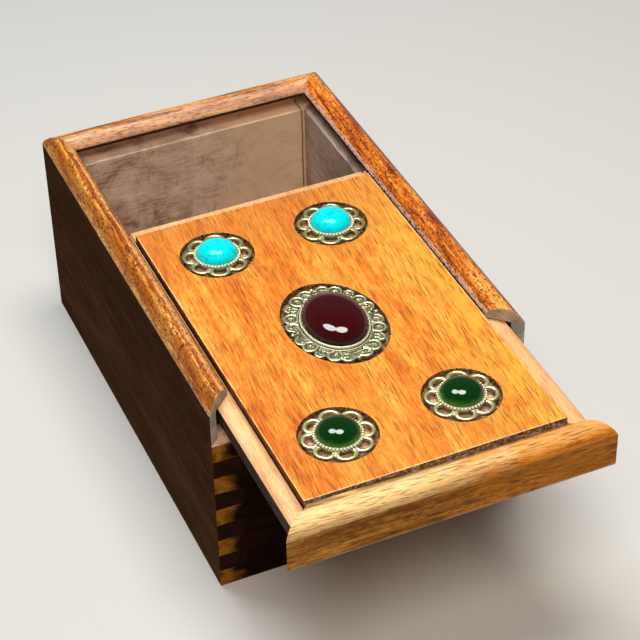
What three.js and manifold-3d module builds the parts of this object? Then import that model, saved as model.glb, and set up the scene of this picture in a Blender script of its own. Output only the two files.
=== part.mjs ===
// Jewelry box of finger-jointed boards with a moulded rim and a lid that slides in grooves
// under the rim. Five medallions, each a stone in a metal setting, are let into the lid.
// Millimetres, +Z up, the front towards -Y. The origin is the middle of the case's underside.
import * as THREE from "three";
import { mergeVertices } from "three/addons/utils/BufferGeometryUtils.js";
import Module from "manifold-3d";

const wasm = await Module();
wasm.setup();

// Case
const CASE_WIDTH = 130;
const CASE_LENGTH = 198;
const BOARD = 11.5; // thickness of the four boards
const FRONT_BOARD_HEIGHT = 73; // also the height of all finger joints
const FINGER_BANDS = 9; // side boards hold the odd ones, end boards the even ones
const LEDGE_RISE = 5.7; // from the front board's top to the groove's lower face
const GROOVE_HEIGHT = 7.3;
const GROOVE_WALL = 4; // wood left outside the groove
const LIP_EDGE = 1.5; // upright edge of the lip over the groove
const MOULDING_RISE = 4.6; // from the arris on the outside to the crest
const PANEL_THICKNESS = 5; // bottom panel
const PANEL_REBATE = 4; // how far the bottom panel reaches into the boards

// Moulding, as shares of the board's thickness and of the moulding's rise.
const MOULDING_SHARES = [
  [0, 0],
  [0.03, 0.185],
  [0.061, 0.326],
  [0.113, 0.5],
  [0.174, 0.652],
  [0.261, 0.826],
  [0.348, 0.935],
  [0.452, 1],
  [0.522, 1],
  [0.652, 0.913],
  [0.739, 0.783],
  [0.826, 0.609],
  [0.904, 0.391],
  [0.957, 0.217],
  [1, 0],
];

// Lid
const LID_DRAWN = 70.75; // how far the lid stands open
const RUNNING_GAP = 0.3; // under the tongue, and under the front rail
const TONGUE_TOP_GAP = 0.55;
const TONGUE_SIDE_GAP = 1.25;
const TONGUE_BACK_GAP = 1;
const FIELD_RISE = 3.75; // of the raised field over the tongue
const FIELD_SIDE_GAP = 1.5;
const FIELD_BACK_GAP = 0.6;
const CHANNEL_WIDTH = 3; // between the front rail and the field
const KERF_WIDTH = 1;
const KERF_DEPTH = 0.8;

// Medallions
const SIDE_MARGIN = 27; // from a small medallion's centre to the field's side
const END_MARGIN = 26.4; // and to the field's end
const PATTERN_SHIFT = 1.8; // the pattern lies to the left of the lid's middle
const RECESS_DEPTH = 3;
const FLOWER_GAP = 0.75; // between a flower and its recess
const BORDER_SIDE_GAP = 0.5; // between the oval border and its recess
const BORDER_END_GAP = 2;
const LARGE_RECESS_TURN = 5; // degrees
const SMALL_STONE_DIAMETER = 16;
const SMALL_STONE_DOME = 4.6; // over the bezel's rim
const LARGE_STONE_WIDTH = 22;
const LARGE_STONE_LENGTH = 30;
const LARGE_STONE_DOME = 6;
const STONE_SEAT = 0.6; // thickness of the bezel's floor
const STONE_CLEARANCE = 0.1;
const SMALL_BEZEL_WALL = 0.8;
const LARGE_BEZEL_WALL = 1.15;
const BEZEL_PROUD = 0.9; // of the rim over the field
const BEZEL_DEPTH = 1.9; // outside height of the cup
const BEZEL_CLEARANCE = 0.1;
const PEDESTAL_BORDER = 0.35; // round the bezel
const PETALS = 8;
const PETAL_REACH = 5; // beyond the pedestal
const PETAL_WIRE = 1.6;
const PETAL_THICKNESS = 1.9;
const PETAL_PROUD = 0.1; // of the petals over the field
const PETAL_SWEEP = 130; // degrees, each way from the petal's tip
const PETAL_LAP = 0.15; // by which neighbouring petals run together
const PETAL_ROOT = 0.8; // by which a petal runs into the pedestal
const BORDER_SIDE = 6.75; // width of the oval border beside the centre bezel
const BORDER_END = 7.75; // and at its ends
const BORDER_PLATE = 1.6; // thickness
const BORDER_SINK = 0.7; // of the plate's top under the field
const LOBE_DIAMETER = 5.6;
const SCALLOP_DEPTH = 1.6; // of the lobes beyond the plate's edge
const LOBE_WIRE = 1;
const LOBE_WIRE_RISE = 1;
const SMALL_BEAD_DIAMETER = 2.2;
const ROOT = 0.25; // by which raised ornament runs into the plate

// Places of the medallions, as shares of their two spacings, and turns of the flowers in degrees.
const MEDALLIONS = [
  { place: "back_left", acrossShare: -0.498, alongShare: 0.501, turn: -15.3, stone: "turquoise" },
  { place: "back_right", acrossShare: 0.5, alongShare: 0.503, turn: 20.8, stone: "turquoise" },
  { place: "front_left", acrossShare: -0.503, alongShare: -0.497, turn: -7, stone: "green" },
  { place: "front_right", acrossShare: 0.497, alongShare: -0.491, turn: -18.4, stone: "green" },
];

// Motifs in a quarter of the oval border, as places round it in degrees; the other quarters
// mirror them.
const BORDER_QUARTER = [
  { motif: "scroll", at: 11 },
  { motif: "scallop", at: 26 },
  { motif: "leaf", at: 42 },
  { motif: "scallop", at: 60 },
  { motif: "scroll", at: 78 },
];

// Fineness of the facets
const ROUND_SEGMENTS = 36;
const DOME_RINGS = 3;
const PETAL_STEPS = 10;
const LOBE_SEGMENTS = 10;
const LOBE_STEPS = 6;
const BEAD_SEGMENTS = 6;
const OVERRUN = 1; // by which cutters pass the faces they cut
const MERGE_DISTANCE = 1e-4;

const TURN = 2 * Math.PI;
const SIDES = [-1, 1];

// Heights and half sizes that follow from the sizes above
const halfWidth = CASE_WIDTH / 2;
const halfLength = CASE_LENGTH / 2;
const innerHalfWidth = halfWidth - BOARD;
const innerHalfLength = halfLength - BOARD;
const ledgeHeight = FRONT_BOARD_HEIGHT + LEDGE_RISE;
const lipHeight = ledgeHeight + GROOVE_HEIGHT;
const arrisHeight = lipHeight + LIP_EDGE;
const crestHeight = arrisHeight + MOULDING_RISE;
const tongueBottom = ledgeHeight + RUNNING_GAP;
const tongueTop = lipHeight - TONGUE_TOP_GAP;
const tongueHalfWidth = halfWidth - GROOVE_WALL - TONGUE_SIDE_GAP;
const tongueBack = halfLength - GROOVE_WALL - TONGUE_BACK_GAP;
const fieldTop = tongueTop + FIELD_RISE;
const fieldHalfWidth = innerHalfWidth - FIELD_SIDE_GAP;
const fieldBack = innerHalfLength - FIELD_BACK_GAP;
const fieldFront = CHANNEL_WIDTH - innerHalfLength;
const fieldMiddle = (fieldFront + fieldBack) / 2;
const recessFloor = fieldTop - RECESS_DEPTH;
const bezelRim = fieldTop + BEZEL_PROUD;
const bezelBottom = bezelRim - BEZEL_DEPTH;
const petalTop = fieldTop + PETAL_PROUD;
const petalBottom = petalTop - PETAL_THICKNESS;
const borderTop = fieldTop - BORDER_SINK;
const borderBottom = borderTop - BORDER_PLATE;
const acrossSpacing = 2 * (fieldHalfWidth - SIDE_MARGIN);
const alongSpacing = fieldBack - fieldFront - 2 * END_MARGIN;
const smallStoneRadius = SMALL_STONE_DIAMETER / 2;
const smallBezelRadius = smallStoneRadius + STONE_CLEARANCE + SMALL_BEZEL_WALL;
const pedestalRadius = smallBezelRadius + PEDESTAL_BORDER;
const flowerRadius = pedestalRadius + PETAL_REACH;
const largeBezelReach = STONE_CLEARANCE + LARGE_BEZEL_WALL;
const borderHalfAcross = LARGE_STONE_WIDTH / 2 + largeBezelReach + BORDER_SIDE;
const borderHalfAlong = LARGE_STONE_LENGTH / 2 + largeBezelReach + BORDER_END;

// Materials
const caseWood = new THREE.MeshStandardMaterial({ color: 0x6b3a20, roughness: 0.55, metalness: 0 });
const rimWood = new THREE.MeshStandardMaterial({ color: 0x9a5326, roughness: 0.42, metalness: 0 });
const lidWood = new THREE.MeshStandardMaterial({ color: 0xd98236, roughness: 0.4, metalness: 0 });
const panelWood = new THREE.MeshStandardMaterial({ color: 0x7a5036, roughness: 0.7, metalness: 0 });
const brass = new THREE.MeshStandardMaterial({ color: 0xb5a76c, roughness: 0.42, metalness: 0.85 });
const stoneMaterials = {
  turquoise: new THREE.MeshStandardMaterial({ color: 0x12c4d6, roughness: 0.2, metalness: 0 }),
  green: new THREE.MeshStandardMaterial({ color: 0x0f3d10, roughness: 0.12, metalness: 0 }),
  red: new THREE.MeshStandardMaterial({ color: 0x3c0612, roughness: 0.12, metalness: 0 }),
};

// A closed solid of a geometry, with its shared corners merged.
function toSolid(geometry) {
  const bare = new THREE.BufferGeometry();
  bare.setAttribute("position", geometry.getAttribute("position"));
  bare.setIndex(geometry.getIndex());
  const merged = mergeVertices(bare, MERGE_DISTANCE);
  const vertProperties = new Float32Array(merged.getAttribute("position").array);
  const triVerts = new Uint32Array(merged.getIndex().array);
  return new wasm.Manifold(new wasm.Mesh({ numProp: 3, vertProperties, triVerts }));
}

// The flat-shaded geometry of a solid.
function toGeometry(solid) {
  const { numProp, vertProperties, triVerts } = solid.getMesh();
  const positions = new Float32Array(triVerts.length * 3);
  triVerts.forEach((vertex, corner) => {
    const start = vertex * numProp;
    positions.set(vertProperties.subarray(start, start + 3), corner * 3);
  });
  const geometry = new THREE.BufferGeometry();
  geometry.setAttribute("position", new THREE.BufferAttribute(positions, 3));
  geometry.computeVertexNormals();
  return geometry;
}

function piece(name, solid, material) {
  const mesh = new THREE.Mesh(toGeometry(solid), material);
  mesh.name = name;
  return mesh;
}

function extrusion(points, depth) {
  const shape = new THREE.Shape(points.map(([x, y]) => new THREE.Vector2(x, y)));
  return new THREE.ExtrudeGeometry(shape, { depth, bevelEnabled: false, steps: 1 });
}

// Prism of an outline in X and Y, between two heights.
function prismUp(points, low, high) {
  const geometry = extrusion(points, high - low);
  geometry.translate(0, 0, low);
  return toSolid(geometry);
}

// Prism of an outline in X and Z, between two places along Y.
function prismAlongY(points, low, high) {
  const geometry = extrusion(points, high - low);
  geometry.rotateX(TURN / 4);
  geometry.translate(0, high, 0);
  return toSolid(geometry);
}

// Prism of an outline in Y and Z, between two places along X.
function prismAlongX(points, low, high) {
  const geometry = extrusion(points, high - low);
  const xAxis = new THREE.Vector3(0, 1, 0);
  const yAxis = new THREE.Vector3(0, 0, 1);
  const zAxis = new THREE.Vector3(1, 0, 0);
  geometry.applyMatrix4(new THREE.Matrix4().makeBasis(xAxis, yAxis, zAxis));
  geometry.translate(low, 0, 0);
  return toSolid(geometry);
}

function block([x0, x1], [y0, y1], [z0, z1]) {
  const geometry = new THREE.BoxGeometry(Math.abs(x1 - x0), Math.abs(y1 - y0), Math.abs(z1 - z0));
  geometry.translate((x0 + x1) / 2, (y0 + y1) / 2, (z0 + z1) / 2);
  return toSolid(geometry);
}

// Closed surface through rings of points, each ring listed anticlockwise seen from +Z and the
// rings from the bottom up, or round a section from outside to inside.
function ringSolid(rings) {
  const count = rings[0].length;
  const positions = rings.flat(2);
  const faces = [];
  for (let ring = 0; ring + 1 < rings.length; ring += 1) {
    for (let index = 0; index < count; index += 1) {
      const next = (index + 1) % count;
      const a = ring * count + index;
      const b = ring * count + next;
      faces.push(a, b, b + count, a, b + count, a + count);
    }
  }
  const capped = [rings[0], rings[rings.length - 1]];
  capped.forEach((ring, end) => {
    const middle = [0, 1, 2].map((axis) => ring.reduce((sum, point) => sum + point[axis], 0) / count);
    const centre = positions.length / 3;
    positions.push(...middle);
    const first = end === 0 ? 0 : (rings.length - 1) * count;
    for (let index = 0; index < count; index += 1) {
      const next = (index + 1) % count;
      const edge = end === 0 ? [next, index] : [index, next];
      faces.push(first + edge[0], first + edge[1], centre);
    }
  });
  const geometry = new THREE.BufferGeometry();
  geometry.setAttribute("position", new THREE.Float32BufferAttribute(positions, 3));
  geometry.setIndex(faces);
  return toSolid(geometry);
}

// Ring of points on an oval at one height.
function ovalRing(halfAcross, halfAlong, height, segments = ROUND_SEGMENTS, turn = 0) {
  const ring = [];
  for (let index = 0; index < segments; index += 1) {
    const angle = (index / segments) * TURN;
    const x = halfAcross * Math.cos(angle);
    const y = halfAlong * Math.sin(angle);
    ring.push([
      x * Math.cos(turn) - y * Math.sin(turn),
      x * Math.sin(turn) + y * Math.cos(turn),
      height,
    ]);
  }
  return ring;
}

function ovalPrism(halfAcross, halfAlong, low, high, segments = ROUND_SEGMENTS, turn = 0) {
  return ringSolid([
    ovalRing(halfAcross, halfAlong, low, segments, turn),
    ovalRing(halfAcross, halfAlong, high, segments, turn),
  ]);
}

// Flat wire with chamfered upper edges that follows a line of [x, y] points.
function wireSolid(line, width, low, high) {
  const half = width / 2;
  const chamfer = width / 4;
  const section = [
    [half, low],
    [half, high - chamfer],
    [half - chamfer, high],
    [chamfer - half, high],
    [-half, high - chamfer],
    [-half, low],
  ];
  const rings = line.map((point, index) => {
    const before = line[Math.max(index - 1, 0)];
    const after = line[Math.min(index + 1, line.length - 1)];
    const length = Math.hypot(after[0] - before[0], after[1] - before[1]);
    const sideways = [(before[1] - after[1]) / length, (after[0] - before[0]) / length];
    return section.map(([offset, z]) => [
      point[0] + offset * sideways[0],
      point[1] + offset * sideways[1],
      z,
    ]);
  });
  return ringSolid(rings);
}

function turned(point, angle) {
  const [x, y] = point;
  return [x * Math.cos(angle) - y * Math.sin(angle), x * Math.sin(angle) + y * Math.cos(angle)];
}

// Outline of the moulding, as [inset from the outer face, height].
function mouldingOutline() {
  return MOULDING_SHARES.map(([inset, rise]) => [inset * BOARD, arrisHeight + rise * MOULDING_RISE]);
}

// Outline of a grooved board, as [inset from the outer face, height].
function boardOutline() {
  return [
    [0, 0],
    ...mouldingOutline(),
    [BOARD, lipHeight],
    [GROOVE_WALL, lipHeight],
    [GROOVE_WALL, ledgeHeight],
    [BOARD, ledgeHeight],
    [BOARD, 0],
  ];
}

// Cutter beyond the mitre at one corner: it leaves the side board's half or the end board's.
function mitreCutter(side, end, keeps, low) {
  const outer = [side * (halfWidth + OVERRUN), end * (halfLength + OVERRUN)];
  const inner = [side * (innerHalfWidth - OVERRUN), end * (innerHalfLength - OVERRUN)];
  const corner = keeps === "side" ? [inner[0], outer[1]] : [outer[0], inner[1]];
  return prismUp([outer, inner, corner], low, crestHeight + OVERRUN);
}

// Cutter for one finger at a corner, out of a side board or out of an end board.
function fingerCutter(side, end, from, band) {
  const bandHeight = FRONT_BOARD_HEIGHT / FINGER_BANDS;
  const alongX = from === "side" ? OVERRUN : 0;
  const alongY = from === "side" ? 0 : OVERRUN;
  const low = band === 0 ? -OVERRUN : band * bandHeight;
  return block(
    [side * (innerHalfWidth - alongX), side * (halfWidth + OVERRUN)],
    [end * (innerHalfLength - alongY), end * (halfLength + OVERRUN)],
    [low, (band + 1) * bandHeight],
  );
}

function cutFingers(board, side, end, from) {
  let cut = board;
  for (let band = from === "side" ? 0 : 1; band < FINGER_BANDS; band += 2) {
    cut = cut.subtract(fingerCutter(side, end, from, band));
  }
  return cut;
}

function panelSpace(low) {
  const x = innerHalfWidth + PANEL_REBATE;
  const y = innerHalfLength + PANEL_REBATE;
  return block([-x, x], [-y, y], [low, PANEL_THICKNESS]);
}

function sideBoard(side) {
  const outline = boardOutline().map(([inset, z]) => [side * (halfWidth - inset), z]);
  let board = prismAlongY(outline, -halfLength, halfLength);
  for (const end of SIDES) {
    board = board.subtract(mitreCutter(side, end, "side", FRONT_BOARD_HEIGHT));
    board = cutFingers(board, side, end, "side");
  }
  // The groove's ledge stops at the front board, which the lid's front rail runs over.
  const ledgeEnd = block(
    [side * (innerHalfWidth - OVERRUN), side * (halfWidth - GROOVE_WALL)],
    [-halfLength - OVERRUN, -innerHalfLength],
    [FRONT_BOARD_HEIGHT, ledgeHeight + OVERRUN],
  );
  return board.subtract(ledgeEnd).subtract(panelSpace(-OVERRUN));
}

function backBoard() {
  const outline = boardOutline().map(([inset, z]) => [halfLength - inset, z]);
  let board = prismAlongX(outline, -halfWidth, halfWidth);
  for (const side of SIDES) {
    board = board.subtract(mitreCutter(side, 1, "end", FRONT_BOARD_HEIGHT));
    board = cutFingers(board, side, 1, "end");
  }
  return board.subtract(panelSpace(-OVERRUN));
}

function frontBoard() {
  let board = block(
    [-halfWidth, halfWidth],
    [-halfLength, -innerHalfLength],
    [0, FRONT_BOARD_HEIGHT],
  );
  for (const side of SIDES) {
    board = cutFingers(board, side, -1, "end");
  }
  return board.subtract(panelSpace(-OVERRUN));
}

function bottomPanel() {
  return panelSpace(0);
}

function lidFrontRail() {
  const bottom = FRONT_BOARD_HEIGHT + RUNNING_GAP;
  const outline = [[0, bottom], ...mouldingOutline(), [BOARD, bottom]];
  const points = outline.map(([inset, z]) => [inset - halfLength, z]);
  let rail = prismAlongX(points, -halfWidth, halfWidth);
  for (const side of SIDES) {
    rail = rail.subtract(mitreCutter(side, -1, "end", FRONT_BOARD_HEIGHT));
  }
  return rail;
}

// The panel's tongue runs on to the mitred ends of the front rail.
function tongueOutline() {
  const mitre = halfWidth - tongueHalfWidth - halfLength;
  const right = [
    [innerHalfWidth, -innerHalfLength],
    [tongueHalfWidth, mitre],
    [tongueHalfWidth, tongueBack],
  ];
  const left = right.map(([x, y]) => [-x, y]).reverse();
  return [...right, ...left];
}

function medallionCentre({ acrossShare, alongShare }) {
  return [acrossShare * acrossSpacing - PATTERN_SHIFT, alongShare * alongSpacing + fieldMiddle];
}

function lidPanel() {
  const front = -halfLength - OVERRUN;
  const back = tongueBack + OVERRUN;
  const above = fieldTop + OVERRUN;
  let panel = prismUp(tongueOutline(), tongueBottom, tongueTop);
  const field = block(
    [-fieldHalfWidth, fieldHalfWidth],
    [fieldFront, fieldBack],
    [tongueBottom, fieldTop],
  );
  panel = panel.add(field);
  for (const side of SIDES) {
    const kerf = [side * fieldHalfWidth, side * (fieldHalfWidth + KERF_WIDTH)];
    panel = panel.subtract(block(kerf, [front, back], [tongueTop - KERF_DEPTH, above]));
  }
  const radius = flowerRadius + FLOWER_GAP;
  for (const medallion of MEDALLIONS) {
    const [x, y] = medallionCentre(medallion);
    panel = panel.subtract(ovalPrism(radius, radius, recessFloor, above).translate([x, y, 0]));
  }
  const oval = ovalPrism(
    borderHalfAcross + BORDER_SIDE_GAP,
    borderHalfAlong + BORDER_END_GAP,
    recessFloor,
    above,
    ROUND_SEGMENTS,
    (LARGE_RECESS_TURN / 360) * TURN,
  );
  return panel.subtract(oval.translate([-PATTERN_SHIFT, fieldMiddle, 0]));
}

// Cup for a stone: a floor and an upright wall, open at the top.
function bezelCup(halfAcross, halfAlong, wall) {
  const outer = STONE_CLEARANCE + wall;
  const seat = bezelBottom + STONE_SEAT;
  return ringSolid([
    ovalRing(halfAcross + outer, halfAlong + outer, bezelBottom),
    ovalRing(halfAcross + outer, halfAlong + outer, bezelRim),
    ovalRing(halfAcross + STONE_CLEARANCE, halfAlong + STONE_CLEARANCE, bezelRim),
    ovalRing(halfAcross + STONE_CLEARANCE, halfAlong + STONE_CLEARANCE, seat),
  ]);
}

// Cabochon: an upright girdle inside the bezel and a dome over its rim.
function cabochon(halfAcross, halfAlong, dome) {
  const rings = [ovalRing(halfAcross, halfAlong, bezelBottom + STONE_SEAT)];
  for (let index = 0; index <= DOME_RINGS; index += 1) {
    const angle = ((index / (DOME_RINGS + 1)) * TURN) / 4;
    const share = Math.cos(angle);
    rings.push(
      ovalRing(halfAcross * share, halfAlong * share, bezelRim + dome * Math.sin(angle)),
    );
  }
  const tip = Math.sin(TURN / ROUND_SEGMENTS);
  rings.push(ovalRing(halfAcross * tip, halfAlong * tip, bezelRim + dome));
  return ringSolid(rings);
}

// Centre line of one petal, its tip towards +X.
function petalLine() {
  const tip = flowerRadius - PETAL_WIRE / 2;
  const sweep = (PETAL_SWEEP / 360) * TURN;
  const halfDepth = (tip - pedestalRadius + PETAL_ROOT) / (1 - Math.cos(sweep));
  const centre = tip - halfDepth;
  const halfSpread = centre * Math.tan(TURN / 2 / PETALS) - PETAL_WIRE / 2 + PETAL_LAP;
  const line = [];
  for (let step = 0; step <= PETAL_STEPS; step += 1) {
    const angle = ((2 * step) / PETAL_STEPS - 1) * sweep;
    line.push([centre + halfDepth * Math.cos(angle), halfSpread * Math.sin(angle)]);
  }
  return line;
}

// Space for a bezel in what carries it, from the bezel's bottom up.
function bezelSpace(halfAcross, halfAlong, wall) {
  const reach = STONE_CLEARANCE + wall + BEZEL_CLEARANCE;
  return ovalPrism(halfAcross + reach, halfAlong + reach, bezelBottom, bezelRim + OVERRUN);
}

function flowerSetting(turn) {
  let setting = ovalPrism(pedestalRadius, pedestalRadius, recessFloor, bezelBottom);
  const line = petalLine();
  for (let petal = 0; petal < PETALS; petal += 1) {
    const angle = (petal / PETALS + turn / 360) * TURN;
    const points = line.map((point) => turned(point, angle));
    setting = setting.add(wireSolid(points, PETAL_WIRE, petalBottom, petalTop));
  }
  const space = bezelSpace(smallStoneRadius, smallStoneRadius, SMALL_BEZEL_WALL);
  return setting.subtract(space);
}

// Places of the motifs all round the oval border: a motif name and an angle on the oval.
function borderMotifs() {
  const motifs = [];
  for (const { motif, at } of BORDER_QUARTER) {
    for (const angle of [at, 180 - at, 180 + at, 360 - at]) {
      motifs.push({ motif, angle: (angle / 360) * TURN });
    }
  }
  return motifs;
}

// A point on the line of lobe centres and the direction straight out of the oval there.
function borderPlace(angle) {
  const halfAcross = borderHalfAcross - LOBE_DIAMETER / 2;
  const halfAlong = borderHalfAlong - LOBE_DIAMETER / 2;
  const point = [halfAcross * Math.cos(angle), halfAlong * Math.sin(angle)];
  const outward = Math.atan2(Math.sin(angle) / halfAlong, Math.cos(angle) / halfAcross);
  return { point, outward };
}

// Raised line of a motif round its own middle, its outer end towards +X.
function motifLine(motif) {
  const radius = (LOBE_DIAMETER - LOBE_WIRE) / 2;
  const line = [];
  for (let step = 0; step <= LOBE_STEPS; step += 1) {
    const angle = (((2 * step) / LOBE_STEPS - 1) * TURN) / 3;
    const narrowing = motif === "leaf" ? Math.cos(angle / 2) : 1;
    line.push([radius * Math.cos(angle), radius * Math.sin(angle) * narrowing]);
  }
  return line;
}

function bead(diameter, low) {
  const radius = diameter / 2;
  const half = Math.SQRT1_2;
  return ringSolid([
    ovalRing(radius, radius, low, BEAD_SEGMENTS),
    ovalRing(radius * half, radius * half, low + radius * half, BEAD_SEGMENTS),
    ovalRing(radius / 4, radius / 4, low + radius, BEAD_SEGMENTS),
  ]);
}

function borderSetting() {
  const across = LARGE_STONE_WIDTH / 2;
  const along = LARGE_STONE_LENGTH / 2;
  const reach = largeBezelReach + PEDESTAL_BORDER;
  const lobe = LOBE_DIAMETER / 2;
  const plate = ovalPrism(
    borderHalfAcross - SCALLOP_DEPTH,
    borderHalfAlong - SCALLOP_DEPTH,
    borderBottom,
    borderTop,
  );
  const pedestal = ovalPrism(across + reach, along + reach, recessFloor, borderBottom + ROOT);
  let setting = plate.add(pedestal);
  for (const { motif, angle } of borderMotifs()) {
    const { point, outward } = borderPlace(angle);
    const [x, y] = point;
    const disc = ovalPrism(lobe, lobe, borderBottom, borderTop, LOBE_SEGMENTS, outward);
    setting = setting.add(disc.translate([x, y, 0]));
    const line = motifLine(motif).map((place) => {
      const [dx, dy] = turned(place, outward);
      return [x + dx, y + dy];
    });
    const top = borderTop + LOBE_WIRE_RISE;
    setting = setting.add(wireSolid(line, LOBE_WIRE, borderTop - ROOT, top));
    if (motif === "scallop") {
      setting = setting.add(bead(SMALL_BEAD_DIAMETER, borderTop - ROOT).translate([x, y, 0]));
    }
  }
  for (const angle of [0, TURN / 4, TURN / 2, TURN - TURN / 4]) {
    const { point, outward } = borderPlace(angle);
    const out = lobe - SMALL_BEAD_DIAMETER / 2;
    const x = point[0] + out * Math.cos(outward);
    const y = point[1] + out * Math.sin(outward);
    const disc = ovalPrism(
      SMALL_BEAD_DIAMETER / 2,
      SMALL_BEAD_DIAMETER / 2,
      borderBottom,
      borderTop,
      BEAD_SEGMENTS,
    );
    setting = setting.add(disc.translate([x, y, 0]));
    setting = setting.add(bead(SMALL_BEAD_DIAMETER, borderTop).translate([x, y, 0]));
  }
  return setting.subtract(bezelSpace(across, along, LARGE_BEZEL_WALL));
}

function smallMedallion(medallion) {
  const group = new THREE.Group();
  const stone = smallStoneRadius;
  const { place } = medallion;
  group.add(
    piece(`setting_${place}`, flowerSetting(medallion.turn), brass),
    piece(`bezel_${place}`, bezelCup(stone, stone, SMALL_BEZEL_WALL), brass),
    piece(
      `stone_${place}`,
      cabochon(stone, stone, SMALL_STONE_DOME),
      stoneMaterials[medallion.stone],
    ),
  );
  const [x, y] = medallionCentre(medallion);
  group.position.set(x, y, 0);
  return group;
}

function largeMedallion() {
  const group = new THREE.Group();
  const across = LARGE_STONE_WIDTH / 2;
  const along = LARGE_STONE_LENGTH / 2;
  group.add(
    piece("setting_centre", borderSetting(), brass),
    piece("bezel_centre", bezelCup(across, along, LARGE_BEZEL_WALL), brass),
    piece("stone_centre", cabochon(across, along, LARGE_STONE_DOME), stoneMaterials.red),
  );
  group.position.set(-PATTERN_SHIFT, fieldMiddle, 0);
  return group;
}

const boxCase = new THREE.Group();
boxCase.add(
  piece("left_side", sideBoard(-1), caseWood),
  piece("right_side", sideBoard(1), rimWood),
  piece("back_board", backBoard(), rimWood),
  piece("front_board", frontBoard(), caseWood),
  piece("bottom_panel", bottomPanel(), panelWood),
);

const lid = new THREE.Group();
lid.add(
  piece("lid_panel", lidPanel(), lidWood),
  piece("lid_front_rail", lidFrontRail(), rimWood),
  ...MEDALLIONS.map(smallMedallion),
  largeMedallion(),
);
lid.position.y = -LID_DRAWN;

const group = new THREE.Group();
group.add(boxCase, lid);

export default group;
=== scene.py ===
"""Inlaid jewelry box with a sliding lid: its woods, cast settings and stones.

The box stands on a pale floor with its lid drawn out part of the way to the front. Sizes
are millimetres in the classes and become metres where a mesh is finished.
"""

import logging
import math
from dataclasses import dataclass, field, replace
from enum import Enum
from typing import Any, Callable, Optional, Sequence, Union

import bmesh
import bpy
from mathutils import Matrix, Vector


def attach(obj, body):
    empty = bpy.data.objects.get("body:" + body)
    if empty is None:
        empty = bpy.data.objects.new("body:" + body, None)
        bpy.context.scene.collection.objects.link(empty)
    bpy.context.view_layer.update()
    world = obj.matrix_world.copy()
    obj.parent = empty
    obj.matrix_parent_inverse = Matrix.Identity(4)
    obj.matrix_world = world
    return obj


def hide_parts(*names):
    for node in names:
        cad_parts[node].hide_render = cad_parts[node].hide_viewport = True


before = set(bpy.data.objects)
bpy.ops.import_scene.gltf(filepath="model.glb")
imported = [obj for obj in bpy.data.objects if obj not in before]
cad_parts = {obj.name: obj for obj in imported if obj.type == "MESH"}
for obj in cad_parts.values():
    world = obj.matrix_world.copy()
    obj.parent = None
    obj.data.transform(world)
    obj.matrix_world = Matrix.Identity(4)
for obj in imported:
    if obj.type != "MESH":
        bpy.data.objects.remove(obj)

LOG = logging.getLogger("jewelry_box")
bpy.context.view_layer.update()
MM = 0.001
TURN = 2 * math.pi
SMOOTH = {"interpolation_type": "SMOOTHSTEP"}
# Middles of the four small medallions: back left, back right, front left, front right.
FLOWER_MIDDLES = ((-26.7, -10.133), (23.2, -9.896), (-26.95, -128.494), (23.05, -127.783))

Mesh, Piece, Material = bmesh.types.BMesh, bpy.types.Object, bpy.types.Material
Tree, Node = bpy.types.NodeTree, bpy.types.Node
Source = Union[bpy.types.Node, bpy.types.NodeSocket]
Triple = tuple[float, float, float]


class Grain(Enum):
    """Way that the wood's grain runs."""

    ALONG_X = "x"
    ALONG_Y = "y"


class Axis(Enum):
    """What a ruler measures: a coordinate, or the distance from the middle plane."""

    ACROSS = 0
    ALONG = 1
    UP = 2
    EITHER = 3


class Face(Enum):
    """What a face of a board is, which decides its finish."""

    LONG = 0
    INSIDE = 1
    MITRE = 2
    RAW = 3
    OUTSIDE = 4
    SIDE = 5


def linear(colour: str) -> tuple[float, float, float, float]:
    """Turns an sRGB hex value into linear red, green, blue and alpha.

    Args:
        colour: Six hex digits, with or without a leading mark.

    Returns:
        The four linear channels, alpha being 1.
    """
    digits = colour.lstrip("#")
    channels = [int(digits[start : start + 2], 16) / 255 for start in (0, 2, 4)]
    straight = [c / 12.92 if c <= 0.04045 else ((c + 0.055) / 1.055) ** 2.4 for c in channels]
    return (straight[0], straight[1], straight[2], 1.0)


def add_node(
    tree: Tree,
    kind: str,
    settings: Optional[dict[Any, Any]] = None,
    links: Optional[dict[Any, Source]] = None,
) -> Node:
    """Adds a shader node with its settings and links.

    Args:
        tree: Node tree to add to.
        kind: Blender's name of the node type, without its first part.
        settings: Values by attribute name or by input, colours as sRGB hex values; "stops"
            fills a colour ramp with places and colours or linear greys.
        links: What feeds each input: a socket, or a node for its first output in use.

    Returns:
        The new node.
    """
    node = tree.nodes.new(f"ShaderNode{kind}")
    for key, value in (settings or {}).items():
        if key == "stops":
            ramp = node.color_ramp
            while len(ramp.elements) < len(value):
                ramp.elements.new(0.5)
            for element, (place, tone) in zip(ramp.elements, value):
                element.position = place
                element.color = linear(tone) if isinstance(tone, str) else (tone, tone, tone, 1.0)
        elif isinstance(key, str) and hasattr(node, key):
            setattr(node, key, value)
        else:
            node.inputs[key].default_value = linear(value) if isinstance(value, str) else value
    for key, source in (links or {}).items():
        if isinstance(source, bpy.types.Node):
            source = next(socket for socket in source.outputs if socket.enabled)
        tree.links.new(source, node.inputs[key])
    return node


@dataclass(frozen=True)
class Ruler:
    """Distance in millimetres that a patch of tone goes by.

    Attributes:
        axis: What is measured.
        factor: 1, or -1 to measure the other way.
        start: Distance at the origin.
    """

    axis: Axis = Axis.UP
    factor: float = 1.0
    start: float = 0.0


@dataclass(frozen=True)
class Patch:
    """Change of tone between two distances.

    Attributes:
        start: Distance where it begins, in millimetres.
        end: Distance where it ends.
        soft: Width over which each side fades.
        colour: Its sRGB colour.
        amount: How far it covers the wood.
        ruler: The distance that it goes by, if not the finish's own.
    """

    start: float
    end: float
    soft: float
    colour: str
    amount: float
    ruler: Optional[Ruler] = None


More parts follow.
